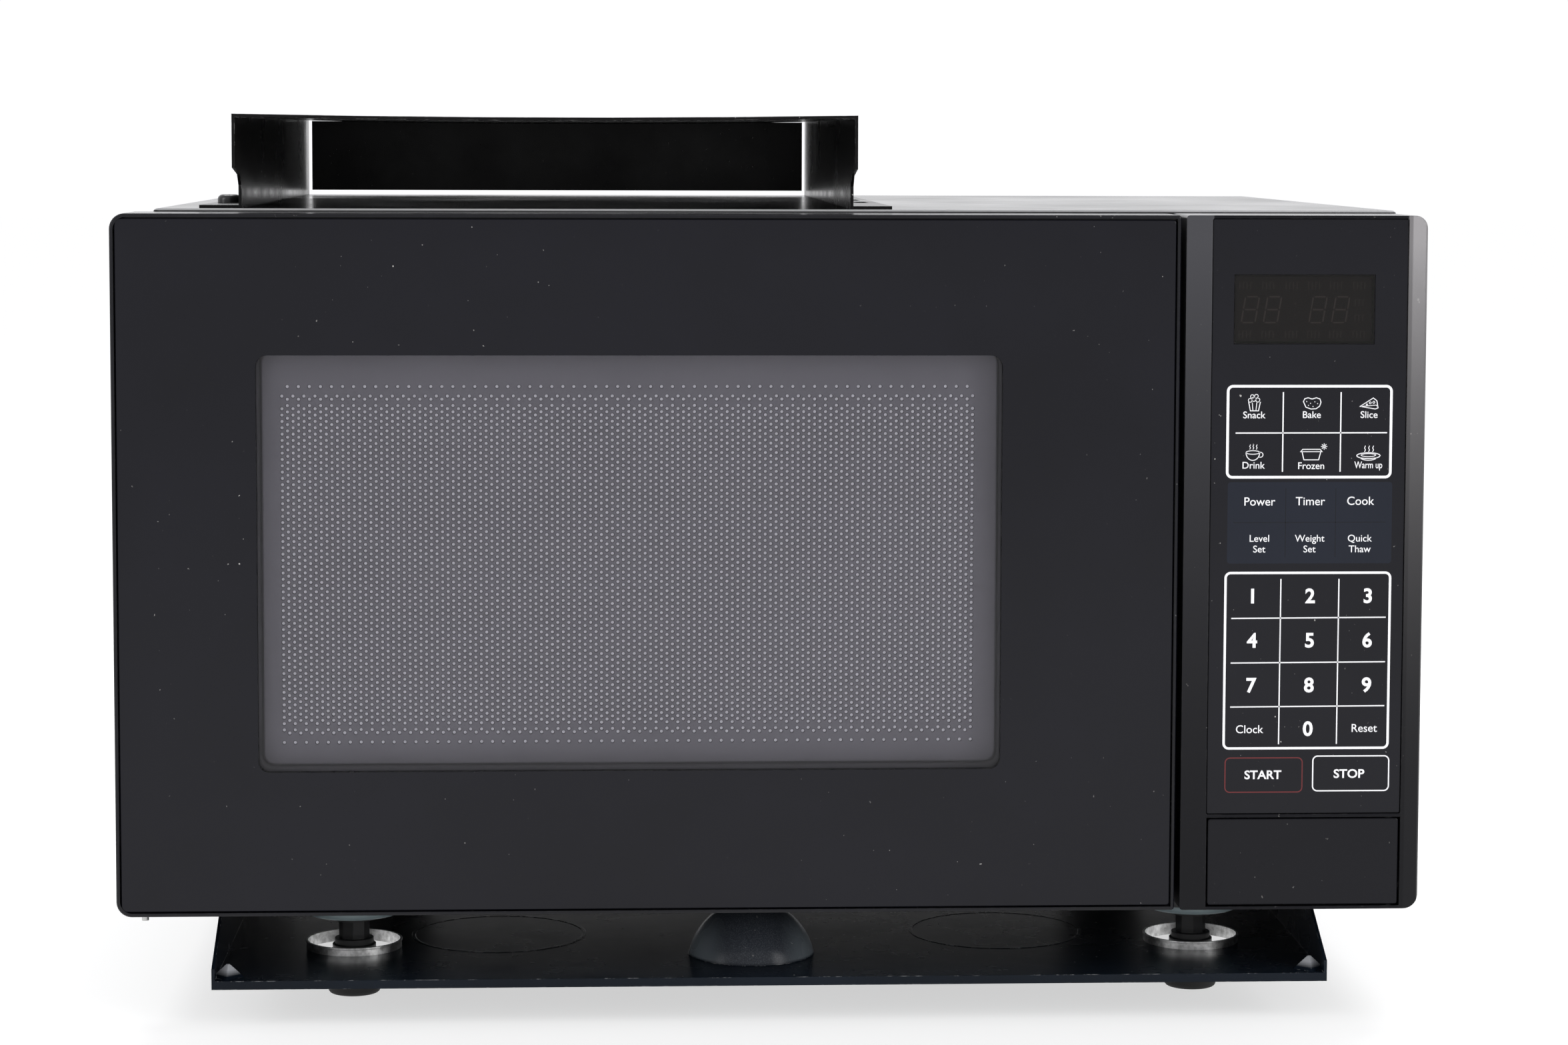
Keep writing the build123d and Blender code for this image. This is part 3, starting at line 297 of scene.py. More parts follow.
def pan_painted_highlights(t, colour):
    """Painted highlights on the pressed dome, strongest round its shoulder, with fine specks."""
    x, y, z = place(t)
    dx = t.maths("SUBTRACT", x, -0.0064)
    dy = t.maths("SUBTRACT", y, 0.053)
    r = t.maths("SQRT", t.maths("ADD", t.maths("MULTIPLY", dx, dx), t.maths("MULTIPLY", dy, dy)))
    on = t.maths("MULTIPLY", t.ranged(r, 0.0262, 0.0254, 0.0, 1.0), t.ranged(z, -0.0272, -0.0262, 0.0, 1.0))
    side = t.ranged(t.maths("ABSOLUTE", dx), 0.010, 0.023, 0.0, 1.0, True)
    # painted highlight: lighter towards the dome's sides
    dome_highlight = t.mixed(side, (0.028, 0.032, 0.040), (0.120, 0.140, 0.155))
    speck = t.ranged(t.noise(2600.0, 2.0, 0.6), 0.46, 0.70, 0.0, 0.55)
    dome_highlight = t.mixed(speck, dome_highlight, (0.10, 0.11, 0.125))
    out = t.mixed(on, colour, dome_highlight)
    # painted highlight on the drawn points in the front corners
    near = t.maths("MULTIPLY", t.ranged(y, 0.0170, 0.0166, 0.0, 1.0), t.ranged(z, -0.0262, -0.0240, 0.0, 1.0))
    low = t.maths("MULTIPLY", near, t.ranged(z, -0.0218, -0.0222, 0.0, 1.0))
    out_side = t.maths("MULTIPLY", t.ranged(t.maths("ABSOLUTE", t.maths("SUBTRACT", x, 0.0005)), 0.2072, 0.2076, 0.0, 1.0),
                       t.ranged(t.maths("ABSOLUTE", t.maths("SUBTRACT", x, 0.0005)), 0.2188, 0.2186, 0.0, 1.0))
    return t.mixed(t.maths("MULTIPLY", low, out_side), out, (0.34, 0.35, 0.37))


PEEL = ((330.0, 0.10, 0.00010), (1500.0, 0.05, 0.00003))
GRAIN = ((1800.0, 0.30, 0.00006), (700.0, 0.12, 0.00006))
M = {
    "black_gloss_frame": surface("frame_black", (0.0040, 0.0040, 0.0062), 0.16, spec=0.24, shade=0.25, rough_var=0.05,
                                 bumps=((700.0, 0.04, 0.00003),), edge=0.0006, wear=0.25, wear_tone=(0.07, 0.07, 0.075), dust=0.6),
    "screen_steel": surface("screen_paint", (0.148, 0.145, 0.159), 0.42, spec=0.30, shade=0.06, bumps=((1200.0, 0.10, 0.00003),)),
    "inner_panel": surface("inner_paint", (0.022, 0.022, 0.023), 0.36, spec=0.4, bumps=PEEL, edge=0.0004, wear=0.3),
    "choke_plastic": surface("choke_plastic", (0.030, 0.030, 0.032), 0.50, bumps=GRAIN, edge=0.0005),
    "latch_plastic": surface("latch_acetal", (0.78, 0.78, 0.75), 0.38, bumps=GRAIN, edge=0.0003, shade=0.05),
    "spring_steel": surface("spring_wire", (0.58, 0.58, 0.58), 0.26, metal=1.0, bumps=((2500.0, 0.15, 0.00002),)),
    "hinge_steel": surface("hinge_zinc", (0.56, 0.56, 0.55), 0.34, metal=1.0, grain=(6.0, 60.0, 60.0), bumps=((60.0, 0.08, 0.00003),), edge=0.0004),
    # the extra colour step here paints reflection on the strip and bevel and a highlight on the top edge
    "panel_satin": surface("panel_satin", (0.047, 0.047, 0.051), 0.30, metal=0.55, spec=0.30, shade=0.06, rough_var=0.03, extra=panel_painted_highlight,
                           bumps=((2600.0, 0.18, 0.00003), (420.0, 0.03, 0.00004)), edge=0.0007, wear=0.2, wear_tone=(0.14, 0.14, 0.14), dust=0.5),
    "overlay_print": surface("overlay_black", (0.0044, 0.0044, 0.0074), 0.13, spec=0.22, shade=0.15, rough_var=0.04,
                             bumps=((180.0, 0.02, 0.00006),), edge=0.0003, dust=0.9),
    "display_glass": surface("display_face", (0.0175, 0.0165, 0.0160), 0.40, spec=0.2, shade=0.10, bumps=((800.0, 0.01, 0.00001),)),
    "circuit_board": surface("board_laminate", (0.045, 0.14, 0.06), 0.38, shade=0.12, extra=traced),
    "button_black": surface("button_satin", (0.0040, 0.0040, 0.0064), 0.26, spec=0.19, shade=0.12, bumps=((2200.0, 0.14, 0.00003),), edge=0.0007, wear=0.2, wear_tone=(0.06, 0.06, 0.06), dust=0.5),
    # the extra colour step here paints a highlight on the casing's top front edge
    "casing_paint": surface("casing_paint", (0.0060, 0.0060, 0.0075), 0.19, spec=0.40, extra=casing_painted_edge_highlight, shade=0.15, rough_var=0.05, rough_scale=14.0,
                            bumps=((330.0, 0.035, 0.00006), (1500.0, 0.03, 0.00002)), edge=0.0006, wear=0.35, wear_tone=(0.20, 0.20, 0.20), dust=1.0),
    # the extra colour step here paints a bluish reflection on the pressed cups over the feet
    "base_paint": surface("base_paint", (0.030, 0.030, 0.032), 0.40, spec=0.4, extra=base_cups_painted_reflection, bumps=PEEL, edge=0.0005, wear=0.5, wear_tone=(0.35, 0.35, 0.35)),
    "cavity_paint": surface("cavity_enamel", (0.40, 0.40, 0.395), 0.34, spec=0.45, shade=0.05, bumps=((500.0, 0.12, 0.00008), (120.0, 0.05, 0.0001))),
    "mica": surface("mica_sheet", (0.55, 0.47, 0.34), 0.36, shade=0.22, shade_scale=60.0, bumps=((150.0, 0.15, 0.0001),)),
    "galvanised": surface("galvanised", (0.58, 0.59, 0.60), 0.36, metal=1.0, shade=0.10, extra=spangled, bumps=((300.0, 0.06, 0.00004),), edge=0.0004),
    "ring_plastic": surface("ring_plastic", (0.72, 0.71, 0.67), 0.45, shade=0.05, bumps=GRAIN, edge=0.0004),
    "core_iron": surface("core_varnish", (0.16, 0.145, 0.13), 0.35, metal=0.5, extra=laminated, bumps=((500.0, 0.15, 0.00006),)),
    "copper_enamel": surface("copper_enamel", (0.42, 0.17, 0.06), 0.30, metal=0.7, extra=wound, bumps=((300.0, 0.1, 0.00006),)),
    "can_metal": surface("drawn_can", (0.68, 0.68, 0.69), 0.28, metal=1.0, grain=(50.0, 50.0, 4.0), bumps=((50.0, 0.06, 0.00004),)),
    "black_plastic": surface("moulded_black", (0.020, 0.020, 0.021), 0.46, bumps=GRAIN, edge=0.0004),
    "bracket_paint": surface("bracket_powder", (0.0034, 0.0032, 0.0034), 0.24, spec=0.13, shade=0.2, rough_var=0.06, rough_scale=22.0,
                             bumps=((330.0, 0.04, 0.00006), (1500.0, 0.03, 0.00002)), edge=0.0005, wear=0.6, wear_tone=(0.35, 0.35, 0.35), dust=1.0),
    # the extra colour step here paints highlights on the dome and in the drawn front corners
    "pan_paint": surface("pan_powder", (0.0048, 0.0076, 0.0125), 0.26, spec=0.13, shade=0.22, rough_var=0.07, rough_scale=26.0, extra=pan_painted_highlights,
                         bumps=((160.0, 0.035, 0.00010), (1300.0, 0.04, 0.00002)), edge=0.0004, wear=0.9, wear_tone=(0.45, 0.46, 0.47), dust=1.0),
    "collar_steel": surface("collar_steel", (0.76, 0.76, 0.75), 0.38, metal=1.0, shade=0.34, shade_scale=420.0, rough_var=0.10, rough_scale=300.0,
                            bumps=((500.0, 0.30, 0.00010), (1600.0, 0.15, 0.00005)), edge=0.0003),
    "screw_black": surface("screw_oxide", (0.016, 0.016, 0.017), 0.30, metal=0.3, spec=0.5, bumps=((1400.0, 0.15, 0.00004),), edge=0.0003, wear=0.6, wear_tone=(0.35, 0.35, 0.35)),
    "foot_plastic": surface("foot_plastic", (0.0125, 0.0125, 0.0135), 0.42, spec=0.35, bumps=GRAIN, edge=0.0006, wear=0.3, wear_tone=(0.12, 0.12, 0.12)),
    "foot_rubber": surface("foot_rubber", (0.018, 0.018, 0.018), 0.62, spec=0.3, bumps=((900.0, 0.35, 0.0001),), edge=0.0005),
}
GLASS_EDGE = clear_body("tray_clear", (0.90, 0.94, 0.93), 0.10)
M["tray_glass"] = GLASS_EDGE
M["clear_film"] = clear_pane("film_clear", (0.90, 0.90, 0.90), rough=0.12, smudge=0.10)
M["door_glass"] = surface("glass_mask", (0.0044, 0.0044, 0.0076), 0.075, spec=0.215, shade=0.15, rough_var=0.03, rough_scale=12.0,
                          bumps=((40.0, 0.02, 0.0001),), edge=0.0004, dust=0.9)
CLEAR = clear_pane("glass_window", (0.94, 0.935, 0.955), ior=1.26, rough=0.03, smudge=0.03)
LENS = clear_pane("display_lens", (0.66, 0.64, 0.63), ior=1.24, rough=0.04, smudge=0.03)
WHITE = surface("print_white", (0.80, 0.80, 0.82), 0.30, spec=0.3, shade=0.04, shade_scale=90.0, bumps=((1500.0, 0.10, 0.00002),))
RED = surface("print_red", (0.13, 0.018, 0.020), 0.30, spec=0.3, shade=0.10, bumps=((1500.0, 0.10, 0.00002),))
BLUE = surface("print_blue", (0.0066, 0.0090, 0.0172), 0.16, spec=0.24, shade=0.10, bumps=((260.0, 0.03, 0.00008),))
LINE = surface("print_line", (0.0030, 0.0034, 0.0060), 0.16, spec=0.24, shade=0.10, bumps=((260.0, 0.03, 0.00008),))
SEG = surface("display_segment", (0.105, 0.092, 0.088), 0.35, spec=0.3, shade=0.15, bumps=((1500.0, 0.05, 0.00002),))
SEG_DIM = surface("display_segment_dim", (0.070, 0.063, 0.060), 0.35, spec=0.3, shade=0.15, bumps=((1500.0, 0.05, 0.00002),))
HOLE = surface("hole_rim", (0.028, 0.028, 0.031), 0.45, spec=0.25, shade=0.10, bumps=((1500.0, 0.08, 0.00002),))
BACKING = surface("screen_backing", (0.80, 0.80, 0.82), 0.55, spec=0.2, shade=0.05, shade_scale=200.0, bumps=((600.0, 0.10, 0.00005),))

for name, node in NODES.items():
    for s in node.material_slots:
        key = s.material.name.split(".")[0] if s.material else ""
        if key in M:
            s.material = M[key]


# ---------------------------------------------------------------- mesh helpers (front frame, mm)

def letter_mesh(words, bold):
    cu = bpy.data.curves.new("lettering", "FONT")
    cu.body = words
    cu.size = 1.0
    cu.offset = bold
    cu.resolution_u = 4
    ob = bpy.data.objects.new("lettering", cu)
    bpy.context.scene.collection.objects.link(ob)
    bpy.context.view_layer.update()
    me = bpy.data.meshes.new_from_object(ob.evaluated_get(bpy.context.evaluated_depsgraph_get()))
    bpy.data.objects.remove(ob)
    bpy.data.curves.remove(cu)
    return me


_h = letter_mesh("H", 0.0)
CAP0, CAP1 = min(v.co.y for v in _h.vertices), max(v.co.y for v in _h.vertices)
bpy.data.meshes.remove(_h)


class Shape:
    def __init__(self):
        self.v, self.f, self.m = [], [], []

    def add(self, verts, faces, mat=0):
        n = len(self.v)
        self.v.extend(verts)
        self.f.extend([tuple(i + n for i in f) for f in faces])
        self.m.extend([mat] * len(faces))

    def prism(self, pts, y0, y1, mat=0, back=True):
        """A flat plate with outline pts (x, z), seen from the front anticlockwise."""
        n = len(pts)
        verts = [(x, y0, z) for x, z in pts] + [(x, y1, z) for x, z in pts]
        faces = [tuple(range(n))]
        faces += [((i + 1) % n, i, n + i, n + (i + 1) % n) for i in range(n)]
        if back:
            faces.append(tuple(range(2 * n - 1, n - 1, -1)))
        self.add(verts, faces, mat)

    def band(self, outer, inner, y0, y1, mat=0):
        """A closed frame between two outlines with equal numbers of points."""
        n = len(outer)
        verts = [(x, y0, z) for x, z in outer] + [(x, y0, z) for x, z in inner]
        verts += [(x, y1, z) for x, z in outer] + [(x, y1, z) for x, z in inner]
        faces = []
        for i in range(n):
            j = (i + 1) % n
            faces.append((i, j, n + j, n + i))
            faces.append((2 * n + j, 2 * n + i, 3 * n + i, 3 * n + j))
            faces.append((j, i, 2 * n + i, 2 * n + j))
            faces.append((n + i, n + j, 3 * n + j, 3 * n + i))
        self.add(verts, faces, mat)

    def stroke(self, pts, w, y0, y1, mat=0, closed=False):
        """A line of width w along pts (x, z), with mitred corners."""
        n = len(pts)
        left, right = [], []
        for i in range(n):
            a = pts[i - 1] if (i > 0 or closed) else pts[i]
            b = pts[(i + 1) % n] if (i < n - 1 or closed) else pts[i]
            c = pts[i]
            d1 = Vector((c[0] - a[0], c[1] - a[1]))
            d2 = Vector((b[0] - c[0], b[1] - c[1]))
            d1 = d1.normalized() if d1.length > 1e-9 else d2.normalized()
            d2 = d2.normalized() if d2.length > 1e-9 else d1
            n1, n2 = Vector((-d1.y, d1.x)), Vector((-d2.y, d2.x))
            m = (n1 + n2)
            m = m.normalized() if m.length > 1e-6 else n1
            k = w / 2 / max(0.45, m.dot(n1))
            left.append((c[0] + m.x * k, c[1] + m.y * k))
            right.append((c[0] - m.x * k, c[1] - m.y * k))
        if closed:
            self.band(right, left, y0, y1, mat)
            return
        verts = [(x, y0, z) for x, z in right + left] + [(x, y1, z) for x, z in right + left]
        faces = []
        for i in range(n - 1):
            faces.append((i, i + 1, n + i + 1, n + i))
            faces.append((2 * n + i + 1, 2 * n + i, 3 * n + i, 3 * n + i + 1))
            faces.append((i + 1, i, 2 * n + i, 2 * n + i + 1))
            faces.append((n + i, n + i + 1, 3 * n + i + 1, 3 * n + i))
        faces.append((0, n, 3 * n, 2 * n))
        faces.append((2 * n - 1, n - 1, 3 * n - 1, 4 * n - 1))
        self.add(verts, faces, mat)

    def text(self, words, cx, cz, cap, y0, y1, bold=0.0, width=None, mat=0):
        """Plain sans lettering, cap high, centred on (cx, cz)."""
        me = letter_mesh(words, bold)
        co = np.array([v.co[:2] for v in me.vertices], dtype=float)
        k = cap / (CAP1 - CAP0)
        lo, hi = co.min(0), co.max(0)
        kx = k if width is None else width / (hi[0] - lo[0])
        xs = (co[:, 0] - (lo[0] + hi[0]) / 2) * kx + cx
        zs = (co[:, 1] - (CAP0 + CAP1) / 2) * k + cz
        n = len(xs)
        faces = [tuple(p.vertices) for p in me.polygons]
        count = {}
        for f in faces:
            for i in range(len(f)):
                e = (f[i], f[(i + 1) % len(f)])
                count[e] = 1
        up = me.polygons[0].normal.z > 0
        front = faces if up else [f[::-1] for f in faces]
        verts = [(x, y0, z) for x, z in zip(xs, zs)] + [(x, y1, z) for x, z in zip(xs, zs)]
        out = list(front) + [tuple(i + n for i in f[::-1]) for f in front]
        edges = {}
        for f in front:
            for i in range(len(f)):
                edges[(f[i], f[(i + 1) % len(f)])] = 1
        for a, b in edges:
            if (b, a) not in edges:
                out.append((b, a, a + n, b + n))
        self.add(verts, out, mat)
        bpy.data.meshes.remove(me)

    def make(self, name, mats, body, smooth=None):
        me = bpy.data.meshes.new(name)
        v = np.array(self.v, dtype=float)
        v = v / 1000.0 + np.array([OX, OY, OZ])
        me.from_pydata([tuple(r) for r in v.tolist()], [], self.f)
        for m in mats:
            me.materials.append(m)
        if len(mats) > 1:
            me.polygons.foreach_set("material_index", self.m)
        me.validate()
        ob = bpy.data.objects.new(name, me)
        bpy.context.scene.collection.objects.link(ob)
        if smooth is not None:
            me.polygons.foreach_set("use_smooth", [True] * len(me.polygons))
            me.set_sharp_from_angle(angle=smooth)
        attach(ob, body)
        return ob


def rounded(x0, x1, z0, z1, r, n=8):
    pts = []
    for cx, cz, a in ((x1 - r, z0 + r, -90), (x1 - r, z1 - r, 0), (x0 + r, z1 - r, 90), (x0 + r, z0 + r, 180)):
        for i in range(n + 1):
            t = math.radians(a + 90.0 * i / n)
            pts.append((cx + r * math.cos(t), cz + r * math.sin(t)))
    return pts


def arc(cx, cz, rx, rz, a0, a1, n=14):
    return [(cx + rx * math.cos(math.radians(a0 + (a1 - a0) * i / n)), cz + rz * math.sin(math.radians(a0 + (a1 - a0) * i / n)))
            for i in range(n + 1)]


# ---------------------------------------------------------------- door glass

g0, g1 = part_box("door_glass")
gx0, gx1 = (g0[0] - OX) * 1000, (g1[0] - OX) * 1000
gy0, gy1 = (g0[1] - OY) * 1000, (g1[1] - OY) * 1000
gz0, gz1 = (g0[2] - OZ) * 1000, (g1[2] - OZ) * 1000
WX0, WX1, WZ0, WZ1, WR = -199.8, 88.8, 56.4, 218.5, 4.4

pane = Shape()
c = 0.35
o_back = rounded(gx0, gx1, gz0, gz1, 1.2)
o_side = rounded(gx0, gx1, gz0, gz1, 1.2)
o_front = rounded(gx0 + c, gx1 - c, gz0 + c, gz1 - c, 1.0)
w = rounded(WX0, WX1, WZ0, WZ1, WR)
n = len(w)
verts = [(x, gy0, z) for x, z in o_front] + [(x, gy0, z) for x, z in w]
verts += [(x, gy0 + c, z) for x, z in o_side] + [(x, gy1, z) for x, z in o_back] + [(x, gy1, z) for x, z in w]
faces = []
for i in range(n):
    j = (i + 1) % n
    faces.append((i, j, n + j, n + i))
    faces.append((j, i, 2 * n + i, 2 * n + j))
    faces.append((2 * n + j, 2 * n + i, 3 * n + i, 3 * n + j))
    faces.append((3 * n + j, 3 * n + i, 4 * n + i, 4 * n + j))
pane.add(verts, faces, 0)
pane.add([(x, gy0, z) for x, z in w], [tuple(range(n))], 1)
pane.add([(x, gy1, z) for x, z in w], [tuple(range(n - 1, -1, -1))], 1)
glass = pane.make("door_glass_pane", [M["door_glass"], CLEAR], "door")
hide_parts("door_glass")

# ---------------------------------------------------------------- perforated screen

FY = 12.0                                   # front of the raised face
COLS, X_FIRST, X_LAST = 127, -190.7, 78.2
PITCH, Z_TOP = 2.467, 205.7
step = (X_LAST - X_FIRST) / (COLS - 1)
R = PITCH / math.sqrt(3.0)
sx = step / (1.5 * R)
hole, rim = 0.655, 0.82
hx0, hx1 = X_FIRST - R / 2 * sx, X_LAST + R / 2 * sx
hz1, hz0 = Z_TOP + PITCH / 2, Z_TOP - 57 * PITCH


def cell_kind(col, t):
    if col % 2 == 0:
        return t in (1.5, 56.5) or 3.0 < t < 55.0
    return t in (0, 55) or 1.5 < t < 53.5


ang = np.radians(np.arange(12) * 30.0)
edge_r = np.where(np.arange(12) % 2 == 0, R, PITCH / 2)
bx, bz = edge_r * np.cos(ang) * sx, edge_r * np.sin(ang)
cx_holes, cz_holes, cx_plain, cz_plain = [], [], [], []
for col in range(COLS):
    x = X_FIRST + step * col
    ts = [k + 0.5 for k in range(-1, 57)] if col % 2 == 0 else list(range(0, 58))
    for t in ts:
        if cell_kind(col, t):
            cx_holes.append(x); cz_holes.append(Z_TOP - t * PITCH)
        else:
            cx_plain.append(x); cz_plain.append(Z_TOP - t * PITCH)
H = len(cx_holes)
hxs, hzs = np.array(cx_holes)[:, None], np.array(cz_holes)[:, None]
outer = np.stack([np.clip(hxs + bx, hx0, hx1), np.full((H, 12), FY), np.clip(hzs + bz, hz0, hz1)], -1)
mid = np.stack([hxs + rim * np.cos(ang), np.full((H, 12), FY), hzs + rim * np.sin(ang)], -1)
low = np.stack([hxs + hole * np.cos(ang), np.full((H, 12), FY + 0.22), hzs + hole * np.sin(ang)], -1)
deep = np.stack([hxs + hole * np.cos(ang), np.full((H, 12), FY + 0.60), hzs + hole * np.sin(ang)], -1)
verts = np.concatenate([outer, mid, low, deep], 1).reshape(-1, 3)
base = (np.arange(H) * 48)[:, None]
k = np.arange(12)
k2 = (k + 1) % 12
q = []
for a in range(3):
    q.append(np.stack([base + 12 * a + k, base + 12 * a + k2, base + 12 * (a + 1) + k2, base + 12 * (a + 1) + k], -1).reshape(-1, 4))
screen = Shape()
screen.add([tuple(r) for r in verts.tolist()], [tuple(r) for r in q[0].tolist()], 0)
screen.f += [tuple(r) for r in np.concatenate([q[1], q[2]]).tolist()]
screen.m += [1] * (len(q[1]) + len(q[2]))
px, pz = np.array(cx_plain)[:, None], np.array(cz_plain)[:, None]
pv = np.stack([np.clip(px + bx, hx0, hx1), np.full((len(px), 12), FY), np.clip(pz + bz, hz0, hz1)], -1).reshape(-1, 3)
screen.add([tuple(r) for r in pv.tolist()], [tuple(range(12 * i, 12 * i + 12)) for i in range(len(px))], 0)

sx0, sx1, sz0, sz1 = -198.7, 88.0, 57.5, 219.5     # raised face
loops = []
NC = 8


def loop(grow, y, r):
    return [(x, y, z) for x, z in rounded(sx0 - grow, sx1 + grow, sz0 - grow, sz1 + grow, r, NC)]


loops.append([(min(max(x, hx0), hx1), FY, min(max(z, hz0), hz1)) for x, _, z in loop(0, FY, 3.5)])
# the inner loop runs along the lattice edge: each corner arc closes on that corner
inner = []
for cxx, czz in ((hx1, hz0), (hx1, hz1), (hx0, hz1), (hx0, hz0)):
    inner += [(cxx, FY, czz)] * (NC + 1)
loops[0] = inner
loops.append(loop(-0.8, FY, 3.6))
for i in range(1, 5):
    a = math.radians(22.5 * i * 0.94)
    loops.append(loop(-0.8 + 0.8 * math.sin(a), FY + 0.8 * (1 - math.cos(a)), 4.2))
loops.append(loop(0.6, 15.0, 4.8))
for i in range(1, 5):
    a = math.radians(22.5 * i)
    loops.append(loop(0.6 + 1.2 * (1 - math.cos(a)), 15.0 + 1.0 * math.sin(a), 4.8 + 0.3 * i))
loops.append(loop(11.9, 16.0, 6.0))
loops.append(loop(11.9, 16.75, 6.0))
loops.append(loop(2.2, 16.75, 5.3))
loops.append(loop(0.2, 15.6, 3.9))
loops.append(loop(-0.6, 12.85, 3.2))
lv = [p for lp in loops for p in lp]
L = len(inner)
lf = []
for a in range(len(loops) - 1):
    for i in range(L):
        j = (i + 1) % L
        if a == 0 and i % (NC + 1) != NC:
            lf.append((a * L + i, (a + 1) * L + i, (a + 1) * L + j))
        else:
            lf.append((a * L + j, a * L + i, (a + 1) * L + i, (a + 1) * L + j))
screen.add(lv, lf, 0)
# light backing sheet just behind the holes
bk = rounded(sx0 + 1.2, sx1 - 1.2, sz0 + 1.2, sz1 - 1.2, 2.4, NC)
screen.prism(bk, FY + 0.66, FY + 0.84, 2)
mesh_screen = screen.make("door_screen_perforated", [M["screen_steel"], HOLE, BACKING], "door")
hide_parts("door_screen")

# ---------------------------------------------------------------- keypad print

o0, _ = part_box("keypad_overlay")
KY = (o0[1] - OY) * 1000                    # front face of the overlay
Y0, Y1 = KY - 0.03, KY - 0.004
prints = Shape()


def frame_line(x0, x1, z0, z1, r, w, mat):
    prints.band(rounded(x0 - w / 2, x1 + w / 2, z0 - w / 2, z1 + w / 2, r + w / 2), rounded(x0 + w / 2, x1 - w / 2, z0 + w / 2, z1 - w / 2, max(0.2, r - w / 2)), Y0, Y1, mat)


def rule(xa, za, xb, zb, w, mat=0):
    prints.stroke([(xa, za), (xb, zb)], w, Y0, Y1, mat)


def ink(pts, w=0.34, closed=False, dx=0.0, dz=0.0):
    prints.stroke([(x + dx, z + dz) for x, z in pts], w, Y0, Y1, 0, closed)


def label(s, x, z, cap, bold=0.0, width=None):
    prints.text(s, x, z, cap, Y0, Y1, bold, width, 0)


# first block: six menu keys with pictograms
frame_line(176.9, 241.1, 170.9, 206.5, 2.0, 1.05, 0)
rule(198.6, 204.2, 198.6, 173.0, 0.50)
rule(221.3, 204.2, 221.3, 173.0, 0.50)
rule(180.0, 188.2, 239.6, 188.3, 0.50)
CA, CB, CC = 187.3, 209.9, 232.4
RA, RB = 199.6, 180.3
# paper tub with puffs
ink([(-2.3, 0.5), (-1.6, -3.0), (1.6, -3.0), (2.3, 0.5)], 0.34, False, CA, RA + 0.3)
ink([(-0.9, 0.2), (-0.6, -2.8)], 0.28, False, CA, RA + 0.3)
ink([(0.9, 0.2), (0.6, -2.8)], 0.28, False, CA, RA + 0.3)
for dx, dz, rr in ((-1.7, 1.1, 0.75), (-0.3, 1.5, 0.85), (1.3, 1.2, 0.8), (-0.9, 2.6, 0.7), (0.7, 2.7, 0.75)):
    ink(arc(dx, dz, rr, rr, 0, 330, 11)[:-1], 0.26, True, CA, RA + 0.3)
# oval root
ink([(-3.4, 0.9), (-2.9, 2.0), (-1.6, 2.4), (0.0, 1.9), (1.7, 2.4), (3.1, 1.9), (3.5, 0.6), (3.0, -0.9), (1.6, -1.9), (-0.4, -2.0), (-2.4, -1.3)], 0.34, True, CB, RA)
for dx, dz in ((-2.1, 0.9), (-0.6, 0.2), (1.1, 0.8), (2.2, 0.1), (0.4, -1.0), (-1.4, -0.6)):
    prints.prism([(CB + dx + 0.2 * math.cos(a * math.pi / 3), RA + dz + 0.2 * math.sin(a * math.pi / 3)) for a in range(6)], Y0, Y1, 0)
# wedge
ink([(-3.6, -1.0), (1.6, 2.3), (3.0, 1.2), (3.5, -1.6), (2.4, -2.0)], 0.34, True, CC, RA)
ink([(-3.2, -1.0), (2.7, -0.5), (3.3, -1.0)], 0.26, False, CC, RA)
for dx, dz, rr in ((0.4, 0.4, 0.40), (1.8, 0.6, 0.42), (-0.9, -0.3, 0.28)):
    ink(arc(dx, dz, rr, rr, 0, 324, 9)[:-1], 0.24, True, CC, RA)
# cup on a saucer
ink(arc(0, 0.3, 2.7, 0.7, 0, 342, 19)[:-1], 0.30, True, CA - 0.4, RB)
ink(arc(0, 0.3, 2.7, 3.1, 180, 360, 14), 0.34, False, CA - 0.4, RB)
ink(arc(2.9, -0.6, 1.1, 1.0, 110, -110, 10), 0.30, False, CA - 0.4, RB)
for dx in (-1.3, 0.0, 1.3):
    ink([(dx, 1.5), (dx + 0.35, 2.1), (dx, 2.7), (dx + 0.35, 3.4)], 0.26, False, CA - 0.4, RB)
# covered dish with a flake
ink([(-3.7, 1.0), (-2.9, -2.2), (2.9, -2.2), (3.7, 1.0)], 0.34, False, CB, RB - 0.4)
ink([(-4.2, 1.0), (4.2, 1.0), (3.4, 1.9), (-3.4, 1.9)], 0.32, True, CB, RB - 0.4)
for a in range(4):
    ca, sa = 1.25 * math.cos(a * math.pi / 4), 1.25 * math.sin(a * math.pi / 4)
    ink([(-ca, -sa), (ca, sa)], 0.26, False, CB + 5.0, RB + 2.6)
# plate with steam
ink(arc(0, -1.0, 4.6, 1.15, 0, 348, 29)[:-1], 0.34, True, CC, RB)
ink(arc(0, -0.8, 2.9, 0.6, 0, 340, 17)[:-1], 0.26, True, CC, RB)
ink(arc(0, -1.4, 3.4, 1.4, 200, 340, 12), 0.30, False, CC, RB)
for dx in (-1.6, 0.0, 1.6):
    ink([(dx, 0.5), (dx + 0.4, 1.3), (dx, 2.0), (dx + 0.4, 2.9)], 0.28, False, CC, RB)
label("Snack", CA, 195.3, 2.6, 0.007)
label("Bake", CB, 195.4, 2.6, 0.007)
label("Slice", CC, 195.4, 2.6, 0.007)
label("Drink", CA, 175.6, 2.6, 0.007)
label("Frozen", CB, 175.4, 2.6, 0.007)
label("Warm up", CC, 175.7, 2.6, 0.007, 11.0)

